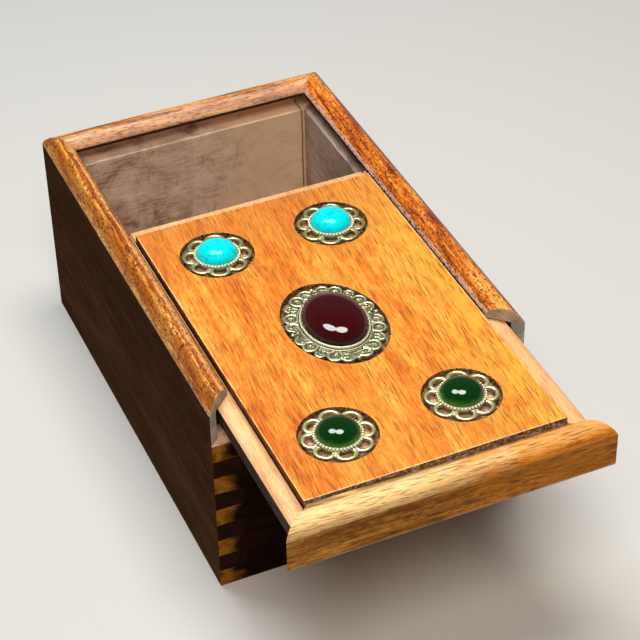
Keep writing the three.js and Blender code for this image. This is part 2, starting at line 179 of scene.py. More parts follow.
@dataclass(frozen=True)
class Finish:
    """What all finishes share.

    Attributes:
        name: The material's name.
        shift: Moves the pattern in millimetres, so that two pieces differ.
    """

    name: str
    shift: Triple = field(default=(0.0, 0.0, 0.0), kw_only=True)

    def _place(self, tree: Tree, lean: float = 0.0) -> Node:
        """Gives Object coordinates in millimetres, leaning by some degrees.

        Args:
            tree: Node tree to add to.
            lean: Angle in degrees that the pattern leans.

        Returns:
            The node of the coordinates.
        """
        settings = {
            "Location": self.shift,
            "Rotation": (0.0, 0.0, math.radians(lean)),
            "Scale": (1 / MM,) * 3,
        }
        place = add_node(tree, "TexCoord").outputs["Object"]
        return add_node(tree, "Mapping", settings, {"Vector": place})

    def _lines(
        self, tree: Tree, wander: Node, bend: float, stretch: Triple, cell: float, width: float
    ) -> Node:
        """Gives a mask of thin lines between cells.

        Args:
            tree: Node tree to add to.
            wander: Noise that bends the lines.
            bend: How far it bends them, in millimetres.
            stretch: Factors on the coordinates, under 1 for lines drawn out that way.
            cell: Spacing of the lines in millimetres.
            width: Where a line has faded out, as a share of a cell.

        Returns:
            The node of the mask.
        """
        push = {"operation": "MULTIPLY_ADD", 1: (bend,) * 3}
        bent = add_node(
            tree, "VectorMath", push, {0: wander.outputs["Color"], 2: self._place(tree)}
        )
        drawn = add_node(tree, "Mapping", {"Scale": stretch}, {"Vector": bent})
        edges = {"feature": "DISTANCE_TO_EDGE", "Scale": 1 / cell}
        cells = add_node(tree, "TexVoronoi", edges, {"Vector": drawn})
        fade = {"From Min": width, "From Max": width / 7.5}
        return add_node(tree, "MapRange", fade, {"Value": cells})

    def _shader(self, tree: Tree) -> Node:
        """Adds the finish's nodes and gives its surface shader."""
        raise NotImplementedError

    def build(self) -> Material:
        """Builds the material.

        Returns:
            The finished material.
        """
        material = bpy.data.materials.new(self.name)
        material.use_nodes = True
        material.node_tree.nodes.clear()
        surface = self._shader(material.node_tree)
        add_node(material.node_tree, "OutputMaterial", links={"Surface": surface})
        return material


@dataclass(frozen=True)
class BoardFinish(Finish):
    """What the finishes of all boards share: grain, tones and patches of tone.

    Attributes:
        grain: Way that the grain runs.
        tones: Dark, middle and light sRGB colours.
        inset: Distance that the patches go by.
        patches: Tones laid over the wood by distance.
    """

    grain: Grain
    tones: tuple[str, str, str]
    inset: Ruler = Ruler()
    patches: tuple[Patch, ...] = ()

    def _streaks(self, tree: Tree, along: float, lean: float = 0.0) -> Node:
        """Gives Object coordinates in millimetres, drawn out along the grain.

        Args:
            tree: Node tree to add to.
            along: Factor on the coordinate along the grain, under 1 for long streaks.
            lean: Angle in degrees that the streaks lean.

        Returns:
            The node of the coordinates.
        """
        scale = (1.0, along, 1.0) if self.grain is Grain.ALONG_Y else (along, 1.0, 1.0)
        return add_node(tree, "Mapping", {"Scale": scale}, {"Vector": self._place(tree, lean)})

    def _distance(self, tree: Tree, ruler: Ruler) -> Node:
        """Gives the distance that a ruler measures, in millimetres.

        Args:
            tree: Node tree to add to.
            ruler: What to measure.

        Returns:
            The node of the distance.
        """
        place = add_node(tree, "TexCoord").outputs["Object"]
        split = add_node(tree, "SeparateXYZ", links={0: place})
        if ruler.axis is Axis.EITHER:
            source: Source = add_node(tree, "Math", {"operation": "ABSOLUTE"}, {0: split})
        else:
            source = split.outputs[ruler.axis.value]
        settings = {"operation": "MULTIPLY_ADD", 1: ruler.factor / MM, 2: ruler.start}
        return add_node(tree, "Math", settings, {0: source})

    def _lay_patches(self, tree: Tree, colour: Node) -> Node:
        """Lays each patch over the wood's colour, with edges that wander a little.

        Args:
            tree: Node tree to add to.
            colour: The wood's colour.

        Returns:
            The node of the new colour.
        """
        noise = {"Scale": 0.2, "Detail": 3.0}
        wander = add_node(tree, "TexNoise", noise, {"Vector": self._streaks(tree, 0.5)})
        for patch in self.patches:
            distance = self._distance(tree, patch.ruler or self.inset)
            push = {"operation": "MULTIPLY_ADD", 1: 2.2 * patch.soft}
            moved = add_node(tree, "Math", push, {0: wander, 2: distance})
            # The noise's mean is a half, so the push is 1.1 times the width on average.
            sides = []
            for edge, half in ((patch.start, patch.soft / 2), (patch.end, -patch.soft / 2)):
                middle = edge + 1.1 * patch.soft
                fade = SMOOTH | {"From Min": middle - half, "From Max": middle + half}
                sides.append(add_node(tree, "MapRange", fade, {"Value": moved}))
            both = add_node(tree, "Math", {"operation": "MULTIPLY"}, dict(enumerate(sides)))
            amount = {"operation": "MULTIPLY", 1: patch.amount}
            share = add_node(tree, "Math", amount, {0: both})
            tone = {"data_type": "RGBA", 7: patch.colour}
            colour = add_node(tree, "Mix", tone, {0: share, 6: colour})
        return colour


@dataclass(frozen=True)
class WoodFinish(BoardFinish):
    """Oiled or varnished open-grained hardwood: streaky figure, dark pores, a soft sheen.

    Attributes:
        pore: Colour of the pores.
        pore_amount: How dark the pores show.
        pore_width: Width of a pore in millimetres. Real ones are 0.1 to 0.2 mm wide and
            would not show, so that all are drawn coarser, those of the rails most.
        pore_stretch: A pore's width over its length.
        figure: Width of the figure's streaks in millimetres.
        contrast: How far the figure spreads over its tones.
        mottle: Strength of the short curly flecks across the grain.
        curl: Size of those flecks in millimetres.
        roughness: Of the surface.
        gloss: Specular level, 0.5 being a plain varnish.
        sheen_coat: Weight of the thin varnish coat.
        bump: Depth of the pores in millimetres.
    """

    pore: str = "#4A240C"
    pore_amount: float = 0.6
    pore_width: float = 0.26
    pore_stretch: float = 0.045
    figure: float = 7.0
    contrast: float = 1.0
    mottle: float = 0.0
    curl: float = 1.8
    roughness: float = 0.42
    gloss: float = 0.4
    sheen_coat: float = 0.12
    bump: float = 0.05

    def _figure(self, tree: Tree) -> Node:
        """Gives the figure's colour: broad streaks with finer growth lines in them.

        Args:
            tree: Node tree to add to.

        Returns:
            The node of the colour.
        """
        streak = {"Scale": 1 / self.figure, "Detail": 3.0, "Roughness": 0.55, "Distortion": 0.5}
        line = {"Scale": 5 / self.figure, "Detail": 2.0, "Roughness": 0.5, "Distortion": 0.2}
        broad = add_node(tree, "TexNoise", streak, {"Vector": self._streaks(tree, 0.1, 2.0)})
        fine = add_node(tree, "TexNoise", line, {"Vector": self._streaks(tree, 0.05, 1.0)})
        mixed = add_node(tree, "Mix", {"data_type": "FLOAT", 0: 0.38}, {2: broad, 3: fine})
        reach = 0.17 / self.contrast
        stops = list(zip((0.5 - reach, 0.5, 0.5 + reach), self.tones))
        return add_node(tree, "ValToRGB", {"stops": stops}, {"Fac": mixed})

    def _pores(self, tree: Tree) -> Node:
        """Gives a mask of the pores: short dashes along the grain, denser in places.

        Args:
            tree: Node tree to add to.

        Returns:
            The node of the mask.
        """
        dash = {"Scale": 1 / self.pore_width, "Detail": 1.0, "Roughness": 0.5}
        place = self._streaks(tree, self.pore_stretch, 4.0)
        dashes = add_node(tree, "TexNoise", dash, {"Vector": place})
        area = {"Scale": 0.11, "Detail": 2.0}
        where = add_node(tree, "TexNoise", area, {"Vector": self._streaks(tree, 0.5)})
        more = {"operation": "MULTIPLY_ADD", 1: 0.22}
        spread = add_node(tree, "Math", more, {0: where, 2: dashes})
        stops = [(0.645, 0.0), (0.745, 1.0)]
        return add_node(tree, "ValToRGB", {"stops": stops}, {"Fac": spread})

    def _flecks(self, tree: Tree, colour: Node) -> Node:
        """Brightens and darkens short curly flecks, as in mottled sapwood.

        Args:
            tree: Node tree to add to.
            colour: The figure's colour.

        Returns:
            The node of the new colour.
        """
        noise = {"Scale": 1 / self.curl, "Detail": 4.0, "Roughness": 0.65, "Distortion": 1.2}
        curl = add_node(tree, "TexNoise", noise, {"Vector": self._streaks(tree, 0.55, 12.0)})
        stops = [(0.35, 0.28), (0.5, 0.5), (0.66, 0.78)]
        tone = add_node(tree, "ValToRGB", {"stops": stops}, {"Fac": curl})
        overlay = {"data_type": "RGBA", "blend_type": "OVERLAY", 0: self.mottle}
        return add_node(tree, "Mix", overlay, {6: colour, 7: tone})

    def _shader(self, tree: Tree) -> Node:
        """Stains the pores into the figure and presses them in.

        Args:
            tree: Node tree to add to.

        Returns:
            The node of the surface shader.
        """
        colour = self._figure(tree)
        if self.mottle:
            colour = self._flecks(tree, colour)
        colour = self._lay_patches(tree, colour)
        pores = self._pores(tree)
        amount = {"operation": "MULTIPLY", 1: self.pore_amount}
        share = add_node(tree, "Math", amount, {0: pores})
        stain = {"data_type": "RGBA", 7: self.pore}
        stained = add_node(tree, "Mix", stain, {0: share, 6: colour})
        height = add_node(tree, "Math", {"operation": "SUBTRACT", 0: 1.0}, {1: pores})
        depth = {"Strength": 0.6, "Distance": self.bump * MM}
        relief = add_node(tree, "Bump", depth, {"Height": height})
        surface = {
            "Roughness": self.roughness,
            "IOR": 1.5,
            "Specular IOR Level": self.gloss,
            "Coat Weight": self.sheen_coat,
            "Coat Roughness": 0.22,
        }
        return add_node(
            tree, "BsdfPrincipled", surface, {"Base Color": stained, "Normal": relief}
        )


@dataclass(frozen=True)
class SawnFinish(BoardFinish):
    """Unfinished sawn wood: dull, with saw marks along the grain and paler rubbed patches.

    Attributes:
        cloud: Width of the lighter patches in millimetres.
        scratch: Spacing of the saw marks in millimetres.
        bump: Depth of the marks in millimetres.
        streak: Share of the saw marks in the tone, the rest being the patches.
        scored: How strongly thin pale scores cross the wood.
    """

    cloud: float = 22.0
    scratch: float = 0.9
    bump: float = 0.12
    streak: float = 0.45
    scored: float = 0.0

    def _scores(self, tree: Tree, colour: Node) -> Node:
        """Draws thin pale scores, mostly upright, that come and go.

        Args:
            tree: Node tree to add to.
            colour: The wood's colour.

        Returns:
            The node of the new colour.
        """
        noise = {"Scale": 0.05, "Detail": 2.0}
        wander = add_node(tree, "TexNoise", noise, {"Vector": self._place(tree)})
        line = self._lines(tree, wander, 9.0, (1.0, 1.0, 0.22), 13.0, 0.03)
        fade = {"From Min": 0.42, "From Max": 0.6, "To Max": self.scored}
        shown = add_node(tree, "MapRange", fade, {"Value": wander})
        share = add_node(tree, "Math", {"operation": "MULTIPLY"}, {0: line, 1: shown})
        tone = {"data_type": "RGBA", 7: "#F4DCC0"}
        return add_node(tree, "Mix", tone, {0: share, 6: colour})

    def _shader(self, tree: Tree) -> Node:
        """Mixes saw marks and rubbed patches, and roughens the wood with the marks.

        Args:
            tree: Node tree to add to.

        Returns:
            The node of the surface shader.
        """
        mark = {"Scale": 1 / self.scratch, "Detail": 3.0, "Roughness": 0.6}
        marks = add_node(tree, "TexNoise", mark, {"Vector": self._streaks(tree, 0.12)})
        cloud = {"Scale": 1 / self.cloud, "Detail": 5.0, "Roughness": 0.62, "Distortion": 0.8}
        clouds = add_node(tree, "TexNoise", cloud, {"Vector": self._place(tree)})
        share = {"data_type": "FLOAT", 0: self.streak}
        mixed = add_node(tree, "Mix", share, {2: clouds, 3: marks})
        stops = list(zip((0.36, 0.5, 0.64), self.tones))
        colour = add_node(tree, "ValToRGB", {"stops": stops}, {"Fac": mixed})
        if self.patches:
            colour = self._lay_patches(tree, colour)
        if self.scored:
            colour = self._scores(tree, colour)
        depth = {"Strength": 0.7, "Distance": self.bump * MM}
        relief = add_node(tree, "Bump", depth, {"Height": marks})
        surface = {"Roughness": 0.8, "IOR": 1.45, "Specular IOR Level": 0.08}
        return add_node(
            tree, "BsdfPrincipled", surface, {"Base Color": colour, "Normal": relief}
        )


@dataclass(frozen=True)
class RecessFinish(Finish):
    """Bare chiselled wood under a setting, with a dark ring round its edge: glue and painted
    shade.

    Attributes:
        middles: Middles of the flowers in millimetres; elsewhere all is dark glue and painted
            shade.
        clean: Radius up to which the wood is bare.
        tones: Dark, middle and light sRGB colours of the wood.
        glue: sRGB colours of the old glue and dust, dark and light, also painting the shade there.
    """

    middles: tuple[tuple[float, float], ...]
    clean: float = 12.2
    tones: tuple[str, str, str] = ("#B47A54", "#E0A884", "#F8CCA8")
    glue: tuple[str, str] = ("#3A2614", "#B48A5C")

    def _nearest(self, tree: Tree, even: Node) -> Node:
        """Gives the distance to the nearest flower's middle, in millimetres.

        Args:
            tree: Node tree to add to.
            even: Coordinates in millimetres.

        Returns:
            The node of the distance.
        """
        nearest: Optional[Node] = None
        for across, along in self.middles:
            move = {"operation": "MULTIPLY_ADD", 1: (1.0, 1.0, 0.0), 2: (-across, -along, 0.0)}
            moved = add_node(tree, "VectorMath", move, {0: even})
            away = add_node(tree, "VectorMath", {"operation": "LENGTH"}, {0: moved})
            if nearest is not None:
                away = add_node(tree, "Math", {"operation": "MINIMUM"}, {0: away, 1: nearest})
            nearest = away
        return nearest

    def _shader(self, tree: Tree) -> Node:
        """Lays ragged old glue and painted shade over the bare wood outside the clean circles.

        Args:
            tree: Node tree to add to.

        Returns:
            The node of the surface shader.
        """
        even = self._place(tree)
        noise = {"Scale": 0.9, "Detail": 4.0, "Roughness": 0.65}
        grit = add_node(tree, "TexNoise", noise, {"Vector": even})
        rag = {"operation": "MULTIPLY_ADD", 1: 3.0}
        ragged = add_node(tree, "Math", rag, {0: grit, 2: self._nearest(tree, even)})
        # The dark ring outside the circles is old glue and painted shade.
        edge = SMOOTH | {"From Min": self.clean + 1.0, "From Max": self.clean + 2.0}
        glue_and_shade = add_node(tree, "MapRange", edge, {"Value": ragged})
        bare = {"stops": list(zip((0.35, 0.5, 0.65), self.tones))}
        dust = {"stops": list(zip((0.4, 0.62), self.glue))}
        wood = add_node(tree, "ValToRGB", bare, {"Fac": grit})
        dusty = add_node(tree, "ValToRGB", dust, {"Fac": grit})
        colour = add_node(tree, "Mix", {"data_type": "RGBA"}, {0: glue_and_shade, 6: wood, 7: dusty})
        depth = {"Strength": 0.6, "Distance": 0.2 * MM}
        relief = add_node(tree, "Bump", depth, {"Height": grit})
        surface = {"Roughness": 0.7, "IOR": 1.45, "Specular IOR Level": 0.2}
        return add_node(
            tree, "BsdfPrincipled", surface, {"Base Color": colour, "Normal": relief}
        )


@dataclass(frozen=True)
class AntiqueBrassFinish(Finish):
    """Cast brass: patina in hollows, painted shade low down, tops rubbed and painted highlight.

    Attributes:
        low: Height in millimetres under which it is all patina, partly painted shade.
        high: Height over which it is bright, rubbed and painted highlight.
        rubbed: sRGB colour of the raised metal, which also paints the highlight on its tops.
        middle: sRGB colour of metal that is neither rubbed nor hollow.
        patina: sRGB colour of the hollows, and of the painted shade low down.
        reach: Width of a hollow that fills with patina, in millimetres.
        roughness: Of the metal.
        metallic: Share of bare metal, the rest being the dull film on it.
    """

    low: float
    high: float
    rubbed: str = "#EEE6AC"
    middle: str = "#98905E"
    patina: str = "#241C08"
    reach: float = 1.8
    roughness: float = 0.34
    metallic: float = 0.85

    def _shader(self, tree: Tree) -> Node:
        """Goes from patina to rubbed metal by hollow, height and a blotchy wear; height gives
        painted light.

        Args:
            tree: Node tree to add to.

        Returns:
            The node of the surface shader.
        """
        search = {"samples": 12, "Distance": self.reach * MM}
        hollow = add_node(tree, "AmbientOcclusion", search).outputs["AO"]
        place = self._place(tree)
        noise = {"Scale": 0.9, "Detail": 3.0, "Roughness": 0.6}
        blotch = add_node(tree, "TexNoise", noise, {"Vector": place})
        wear = {"operation": "MULTIPLY_ADD", 1: 0.22, 2: -0.11}
        worn = add_node(tree, "Math", wear, {0: blotch})
        height = add_node(tree, "SeparateXYZ", links={0: place}).outputs[2]
        # Lighter with height: wear on raised parts and a painted highlight on the tops.
        span = {"From Min": self.low, "From Max": self.high}
        raised = add_node(tree, "MapRange", span, {"Value": height})
        share = {"data_type": "FLOAT", 0: 0.55}
        wear_and_light = add_node(tree, "Mix", share, {2: hollow, 3: raised})
        bright = add_node(tree, "Math", {"operation": "ADD"}, {0: wear_and_light, 1: worn})
        stops = [(0.2, self.patina), (0.55, self.middle), (0.88, self.rubbed)]
        colour = add_node(tree, "ValToRGB", {"stops": stops}, {"Fac": bright})
        depth = {"Strength": 0.35, "Distance": 0.05 * MM}
        relief = add_node(tree, "Bump", depth, {"Height": blotch})
        surface = {"Metallic": self.metallic, "Roughness": self.roughness}
        return add_node(
            tree, "BsdfPrincipled", surface, {"Base Color": colour, "Normal": relief}
        )


@dataclass(frozen=True)
class TurquoiseFinish(Finish):
    """Polished turquoise: even sky blue crossed by fine darker crackle veins.

    Attributes:
        body: sRGB colour of the stone.
        vein: sRGB colour of the veins.
        vein_amount: How dark the veins show.
        cell: Spacing of the veins in millimetres.
    """

    body: str = "#02E2EE"
    vein: str = "#0A8E9C"
    vein_amount: float = 0.8
    cell: float = 4.6

    def _shader(self, tree: Tree) -> Node:
        """Draws veins that come and go over the body colour.

        Args:
            tree: Node tree to add to.

        Returns:
            The node of the surface shader.
        """
        noise = {"Scale": 0.45, "Detail": 3.0}
        wander = add_node(tree, "TexNoise", noise, {"Vector": self._place(tree)})
        line = self._lines(tree, wander, 2.4, (1.0, 1.0, 1.0), self.cell, 0.06)
        fade = {"From Min": 0.42, "From Max": 0.62, "To Max": self.vein_amount}
        faded = add_node(tree, "MapRange", fade, {"Value": wander})
        share = add_node(tree, "Math", {"operation": "MULTIPLY"}, {0: line, 1: faded})
        tones = {"data_type": "RGBA", 6: self.body, 7: self.vein}
        colour = add_node(tree, "Mix", tones, {0: share})
        surface = {"Roughness": 0.13, "IOR": 1.61, "Specular IOR Level": 0.2}
        return add_node(tree, "BsdfPrincipled", surface, {"Base Color": colour})


@dataclass(frozen=True)
class DeepStoneFinish(Finish):
    """Polished translucent stone, its colour fading by height as painted light through the stone.

    Attributes:
        deep: sRGB colour of the thick middle.
        rim: sRGB colour of the thin edge.
        low: Height of the girdle in millimetres, where the rim's colour is full.
        high: Height where it has faded to the deep colour.
    """

    deep: str
    rim: str
    low: float
    high: float

    def _shader(self, tree: Tree) -> Node:
        """Fades from the rim's colour to the deep one by height, clouded a little, as painted
        light.

        Args:
            tree: Node tree to add to.

        Returns:
            The node of the surface shader.
        """
        place = self._place(tree)
        height = add_node(tree, "SeparateXYZ", links={0: place}).outputs[2]
        noise = {"Scale": 0.35, "Detail": 3.0, "Roughness": 0.6}
        cloud = add_node(tree, "TexNoise", noise, {"Vector": place})
        # The cloud moves the colours by up to this many millimetres, half of it on average.
        lift = 2.2
        push = {"operation": "MULTIPLY_ADD", 1: lift}
        clouded = add_node(tree, "Math", push, {0: cloud, 2: height})
        # Painted light through the stone: green brighter at its thin edge, red redder in its
        # middle.
        fade = SMOOTH | {"From Min": self.high + lift / 2, "From Max": self.low + lift / 2}
        thin = add_node(tree, "MapRange", fade, {"Value": clouded})
        tones = {"data_type": "RGBA", 6: self.deep, 7: self.rim}
        colour = add_node(tree, "Mix", tones, {0: thin})
        surface = {"Roughness": 0.06, "IOR": 1.56, "Specular IOR Level": 0.55}
        return add_node(tree, "BsdfPrincipled", surface, {"Base Color": colour})


@dataclass(frozen=True)
class BoxSizes:
    """Sizes of the case and lid that the finishes and small pieces line up with.

    Attributes:
        half_width: From the middle to the outer side faces.
        half_length: From the middle to the outer end faces.
        board: Thickness of the boards.
        ledge: Height of the groove's lower face.
        lip: Height of the lip's under face.
        arris: Height where the moulding begins.
        drawn: How far the lid stands open.
        tongue: Height of the tongue's upper face.
        field: Height of the field's face.
        field_half_width: From the middle to the field's sides.
        recess_floor: Height of the recesses' floors.
    """

    half_width: float = 65.0
    half_length: float = 99.0
    board: float = 11.5
    ledge: float = 78.7
    lip: float = 86.0
    arris: float = 87.5
    drawn: float = 70.75
    tongue: float = 85.45
    field: float = 89.2
    field_half_width: float = 52.0
    recess_floor: float = 86.2


SIZES = BoxSizes()


def finish_mesh(
    mesh: Mesh,
    name: str,
    body: str,
    node: str,
    finishes: Sequence[Material],
    smooth_under: float,
) -> Piece:
    """Turns a bmesh into a dressed object that rides on a body.

    Args:
        mesh: The bmesh, in metres at its final place; it is freed.
        name: The piece's name.
        body: The body that carries it.
        node: The frame's node that it replaces.
        finishes: Its materials, in slot order.
        smooth_under: Angle in degrees over which an edge is drawn sharp.

    Returns:
        The new object.
    """
    data = bpy.data.meshes.new(name)
    mesh.to_mesh(data)
    mesh.free()
    data.polygons.foreach_set("use_smooth", [True] * len(data.polygons))
    data.set_sharp_from_angle(angle=math.radians(smooth_under))
    for material in finishes:
        data.materials.append(material)
    piece = bpy.data.objects.new(name, data)
    bpy.context.scene.collection.objects.link(piece)
    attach(piece, body)
    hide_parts(node)
    return piece


def hidden_in_joint(corner: bmesh.types.BMEdge) -> bool:
    """Tells whether an edge lies at a shoulder or inner face of a finger joint.

    Args:
        corner: An edge between two faces.

    Returns:
        Whether it is left as sawn, so that no bare wood shows through the joint.
    """
    near = 0.1
    middle = (corner.verts[0].co + corner.verts[1].co) / 2 / MM
    inward = max(SIZES.half_width - abs(middle.x), SIZES.half_length - abs(middle.y))
    return abs(inward - SIZES.board) < near and middle.z < SIZES.ledge + near


def fettled(
    node: str,
    body: str,
    ease: float,
    sort: Callable[[Vector, Vector], Face],
    finishes: Sequence[Material],
    reshape: Optional[Callable[[Mesh], None]] = None,
) -> Piece:
    """Copies a board of the frame and eases its edges, as sanding and wear have.

    Args:
        node: The node to copy and replace.
        body: The body that carries it.
        ease: Width of the eased edges in millimetres.
        sort: Gives what a face is, from its middle in millimetres and its normal.
        finishes: Its materials, by what a face is.
        reshape: Changes the board's shape before its edges are eased.

    Returns:
        The new object.
    """
    weld, long_edge = 0.002 * MM, 60 * MM
    flat, crease = math.radians(0.6), math.radians(32)
    board = bmesh.new()
    board.from_mesh(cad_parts[node].data)
    bmesh.ops.remove_doubles(board, verts=board.verts, dist=weld)
    bmesh.ops.dissolve_limit(
        board,
        angle_limit=flat,
        verts=board.verts,
        edges=board.edges,
        use_dissolve_boundaries=False,
    )
    for face in board.faces:
        face.material_index = sort(face.calc_center_median() / MM, face.normal).value
    if reshape:
        # Cuts let a long edge bend.
        bent = [edge for edge in board.edges if edge.calc_length() > long_edge]
        bmesh.ops.subdivide_edges(board, edges=bent, cuts=12, use_grid_fill=False)
        reshape(board)
    corners = [
        corner
        for corner in board.edges
        if corner.is_manifold
        and corner.calc_face_angle_signed() > crease
        and not hidden_in_joint(corner)
    ]
    bmesh.ops.bevel(
        board,
        geom=corners,
        offset=ease * MM,
        offset_type="OFFSET",
        segments=2,
        profile=0.5,
        affect="EDGES",
        clamp_overlap=True,
        material=-1,
    )
    piece = finish_mesh(board, f"{node}_board", body, node, finishes, 38.0)
    # Normals weighted by area keep broad faces flat beside their rounded edges.
    modifier = piece.modifiers.new("flat faces", "WEIGHTED_NORMAL")
    modifier.keep_sharp = True
    modifier.weight = 100
    return piece


@dataclass
class Case:
    """The box: four boards with a moulded rim, and the bottom panel.

    Attributes:
        eased: Width of the eased edges in millimetres.
        panel_eased: Width of the bottom panel's eased edges.
        finger: From an outer face to the end of a finger's flat faces.
        side_fingers: Height that these faces lie under on a side board.
        end_fingers: Height that they lie under on an end board.
    """

    eased: float = 0.35
    panel_eased: float = 0.2
    finger: float = 12.0
    side_fingers: float = 74.0
    end_fingers: float = 72.0

    def _sort_side(self, middle: Vector, normal: Vector) -> Face:
        """Sorts the faces of a side board: outside and rim, inside, mitres and fingers."""
        fingered = SIZES.half_length - abs(middle.y) < self.finger
        return self._sort(middle, normal, abs(normal.y), fingered and middle.z < self.side_fingers)

    def _sort_end(self, middle: Vector, normal: Vector) -> Face:
        """Sorts the faces of an end board."""
        fingered = SIZES.half_width - abs(middle.x) < self.finger
        return self._sort(middle, normal, abs(normal.x), fingered and middle.z < self.end_fingers)

    def _sort(self, middle: Vector, normal: Vector, end_share: float, at_finger: bool) -> Face:
        """Sorts a board's face.

        Args:
            middle: Middle of the face in millimetres.
            normal: Its normal.
            end_share: How far it faces along the grain.
            at_finger: Whether it lies among the fingers.

        Returns:
            What the face is.
        """
        if abs(normal.z) > 0.9 and at_finger:
            return Face.OUTSIDE
        if 0.5 < end_share < 0.9:
            return Face.MITRE
        if end_share >= 0.9:
            return Face.RAW
        inner = abs(middle.x) < SIZES.half_width - 1 and abs(middle.y) < SIZES.half_length - 1
        if inner and middle.z < SIZES.lip + 0.5:
            return Face.INSIDE
        if middle.z < SIZES.arris and max(abs(normal.x), abs(normal.y)) > 0.95:
            return Face.OUTSIDE
        return Face.LONG

    def _rails(self) -> dict[str, WoodFinish]:
        """Gives the varnished woods of the rim, with coarse open pores and curly flecks.

        Returns:
            The finishes by board.
        """
        inset = Ruler(Axis.EITHER, -1.0, SIZES.half_width)
        # Worn varnish: brown low on the outside, rubbed to gold on the crest, reddish inside.
        left = WoodFinish(
            "varnished mahogany rail, left",
            Grain.ALONG_Y,
            ("#A25414", "#E69034", "#FEC064"),
            inset,
            (
                # Pale outer arris: a painted highlight.
                Patch(-1.0, 0.45, 0.3, "#D8A060", 0.3),
                Patch(0.6, 4.4, 1.6, "#8A4000", 0.72),
                Patch(5.6, 7.2, 1.0, "#983A12", 0.7),
                # Pale line along the ridge: wear and a painted highlight.
                Patch(7.8, 8.8, 0.6, "#F0B890", 0.6),
                Patch(10.4, 14.0, 0.6, "#965C34", 0.8),
            ),
            pore="#4A200C",
            pore_amount=0.85,
            pore_width=0.55,
            pore_stretch=0.3,
            figure=3.4,
            contrast=1.6,
            mottle=1.0,
            curl=1.4,
            gloss=0.25,
            roughness=0.38,
        )
        # The same varnish over a redder board, darker outside, with painted light on its inner
        # arris.
        right = replace(
            left,
            name="varnished mahogany rail, right",
            tones=("#8C3A0C", "#DA721C", "#FCA846"),
            patches=(
                Patch(-3.0, 3.2, 1.4, "#7E4420", 0.6),
                # Pale inner arris and face: painted light.
                Patch(10.6, 14.0, 0.4, "#E2B8A6", 0.8),
            ),
            pore="#3A1C0E",
            pore_amount=0.8,
            figure=3.6,
            contrast=1.5,
            curl=1.5,
            roughness=0.4,
            shift=(31.0, 7.0, 3.0),
        )
        # Browner, with fewer pores, and pale towards the inside as a painted highlight.
        back = WoodFinish(
            "varnished mahogany rail, back",
            Grain.ALONG_X,
            ("#7A3E14", "#CA7C34", "#F2B468"),
            Ruler(Axis.ALONG, -1.0, SIZES.half_length),
            # Painted highlight on the inner ridge and lip.
            (Patch(7.4, 14.0, 2.0, "#E8B494", 0.5),),
            pore="#4A2412",
            pore_amount=0.55,
            pore_width=0.5,
            pore_stretch=0.15,
            figure=4.0,
            contrast=1.6,
            mottle=0.9,
            shift=(5.0, 40.0, 0.0),
        )
        return {"left": left, "right": right, "back": back}

    def _finishes(self) -> dict[str, Material]:
        """Builds the woods of the case.

        Returns:
            The materials by the names that build looks up.
        """
        inset = Ruler(Axis.EITHER, -1.0, SIZES.half_width)
        # Dark stain without shine, painted almost black as the drawn lid's shadow.
        front = WoodFinish(
            "stained mahogany front board",
            Grain.ALONG_X,
            ("#0B0501", "#180B03", "#2A1806"),
            inset,
            # Brown wood near the corners: wear, and painted light out of the lid's shadow.
            (Patch(-1.0, 6.0, 8.0, "#A86A20", 0.85),),
            pore="#160A05",
            pore_amount=0.5,
            figure=9.0,
            roughness=0.6,
            gloss=0.02,
            sheen_coat=0.0,
            shift=(0.0, 0.0, 17.0),
        )
        # Dark matt stain, darkened further as painted shade, and darker towards the rim.
        outside = WoodFinish(
            "stained mahogany outer face",
            Grain.ALONG_Y,
            ("#3E291B", "#4C3223", "#5C3F2A"),
            Ruler(Axis.UP),
            # Darker towards the rim: painted shade under the moulding.
            (Patch(50.0, 95.0, 40.0, "#3A2418", 0.45),),
            pore="#2A1A10",
            pore_amount=0.5,
            roughness=0.6,
            gloss=0.0,
            sheen_coat=0.0,
        )
        outside_end = replace(
            outside, name="stained mahogany outer face, ends", grain=Grain.ALONG_X
        )
        # Dusty pinkish beige with pale scores, a seam at the corner, and pale tones partly painted
        # light.
        inside_back = SawnFinish(
            "sawn mahogany inner face, back",
            Grain.ALONG_X,
            ("#A07E68", "#E2BEA4", "#FFE2C8"),
            Ruler(Axis.ACROSS),
            (
                # Lighter and warmer to the right: a painted pool of light.
                Patch(14.0, 60.0, 30.0, "#FFD6AE", 0.74),
                Patch(51.8, 52.5, 0.5, "#4A3020", 0.8),
                Patch(52.5, 54.0, 0.3, "#E8C8A0", 0.6),
            ),
            cloud=13.0,
            streak=0.32,
            scored=0.6,
        )
        # Greyer and more even than the back.
        inside_side = SawnFinish(
            "sawn mahogany inner face, sides",
            Grain.ALONG_Y,
            ("#947C6C", "#B49E8E", "#D0BAA8"),
            cloud=30.0,
        )
        # Pale grey, finely cut.
        mitre = SawnFinish(
            "sawn mahogany mitre",
            Grain.ALONG_X,
            ("#9C8C78", "#BFAF9A", "#D6C8B4"),
            cloud=5.0,
            scratch=0.5,
        )
        # Soaked almost black by the stain, as end grain is.
        end = replace(
            mitre,
            name="stained mahogany end grain",
            tones=("#120703", "#200D06", "#30160A"),
            cloud=6.0,
        )
        # Plain dull brown, as it is never seen.
        bottom = replace(
            inside_side,
            name="sawn mahogany bottom panel",
            tones=("#6E5240", "#8E6E58", "#A88670"),
            cloud=35.0,
        )
        woods: dict[str, BoardFinish] = self._rails() | {
            "front": front,
            "outside": outside,
            "outside_end": outside_end,
            "inside_back": inside_back,
            "inside_side": inside_side,
            "mitre": mitre,
            "end": end,
            "bottom": bottom,
        }
        return {key: wood.build() for key, wood in woods.items()}

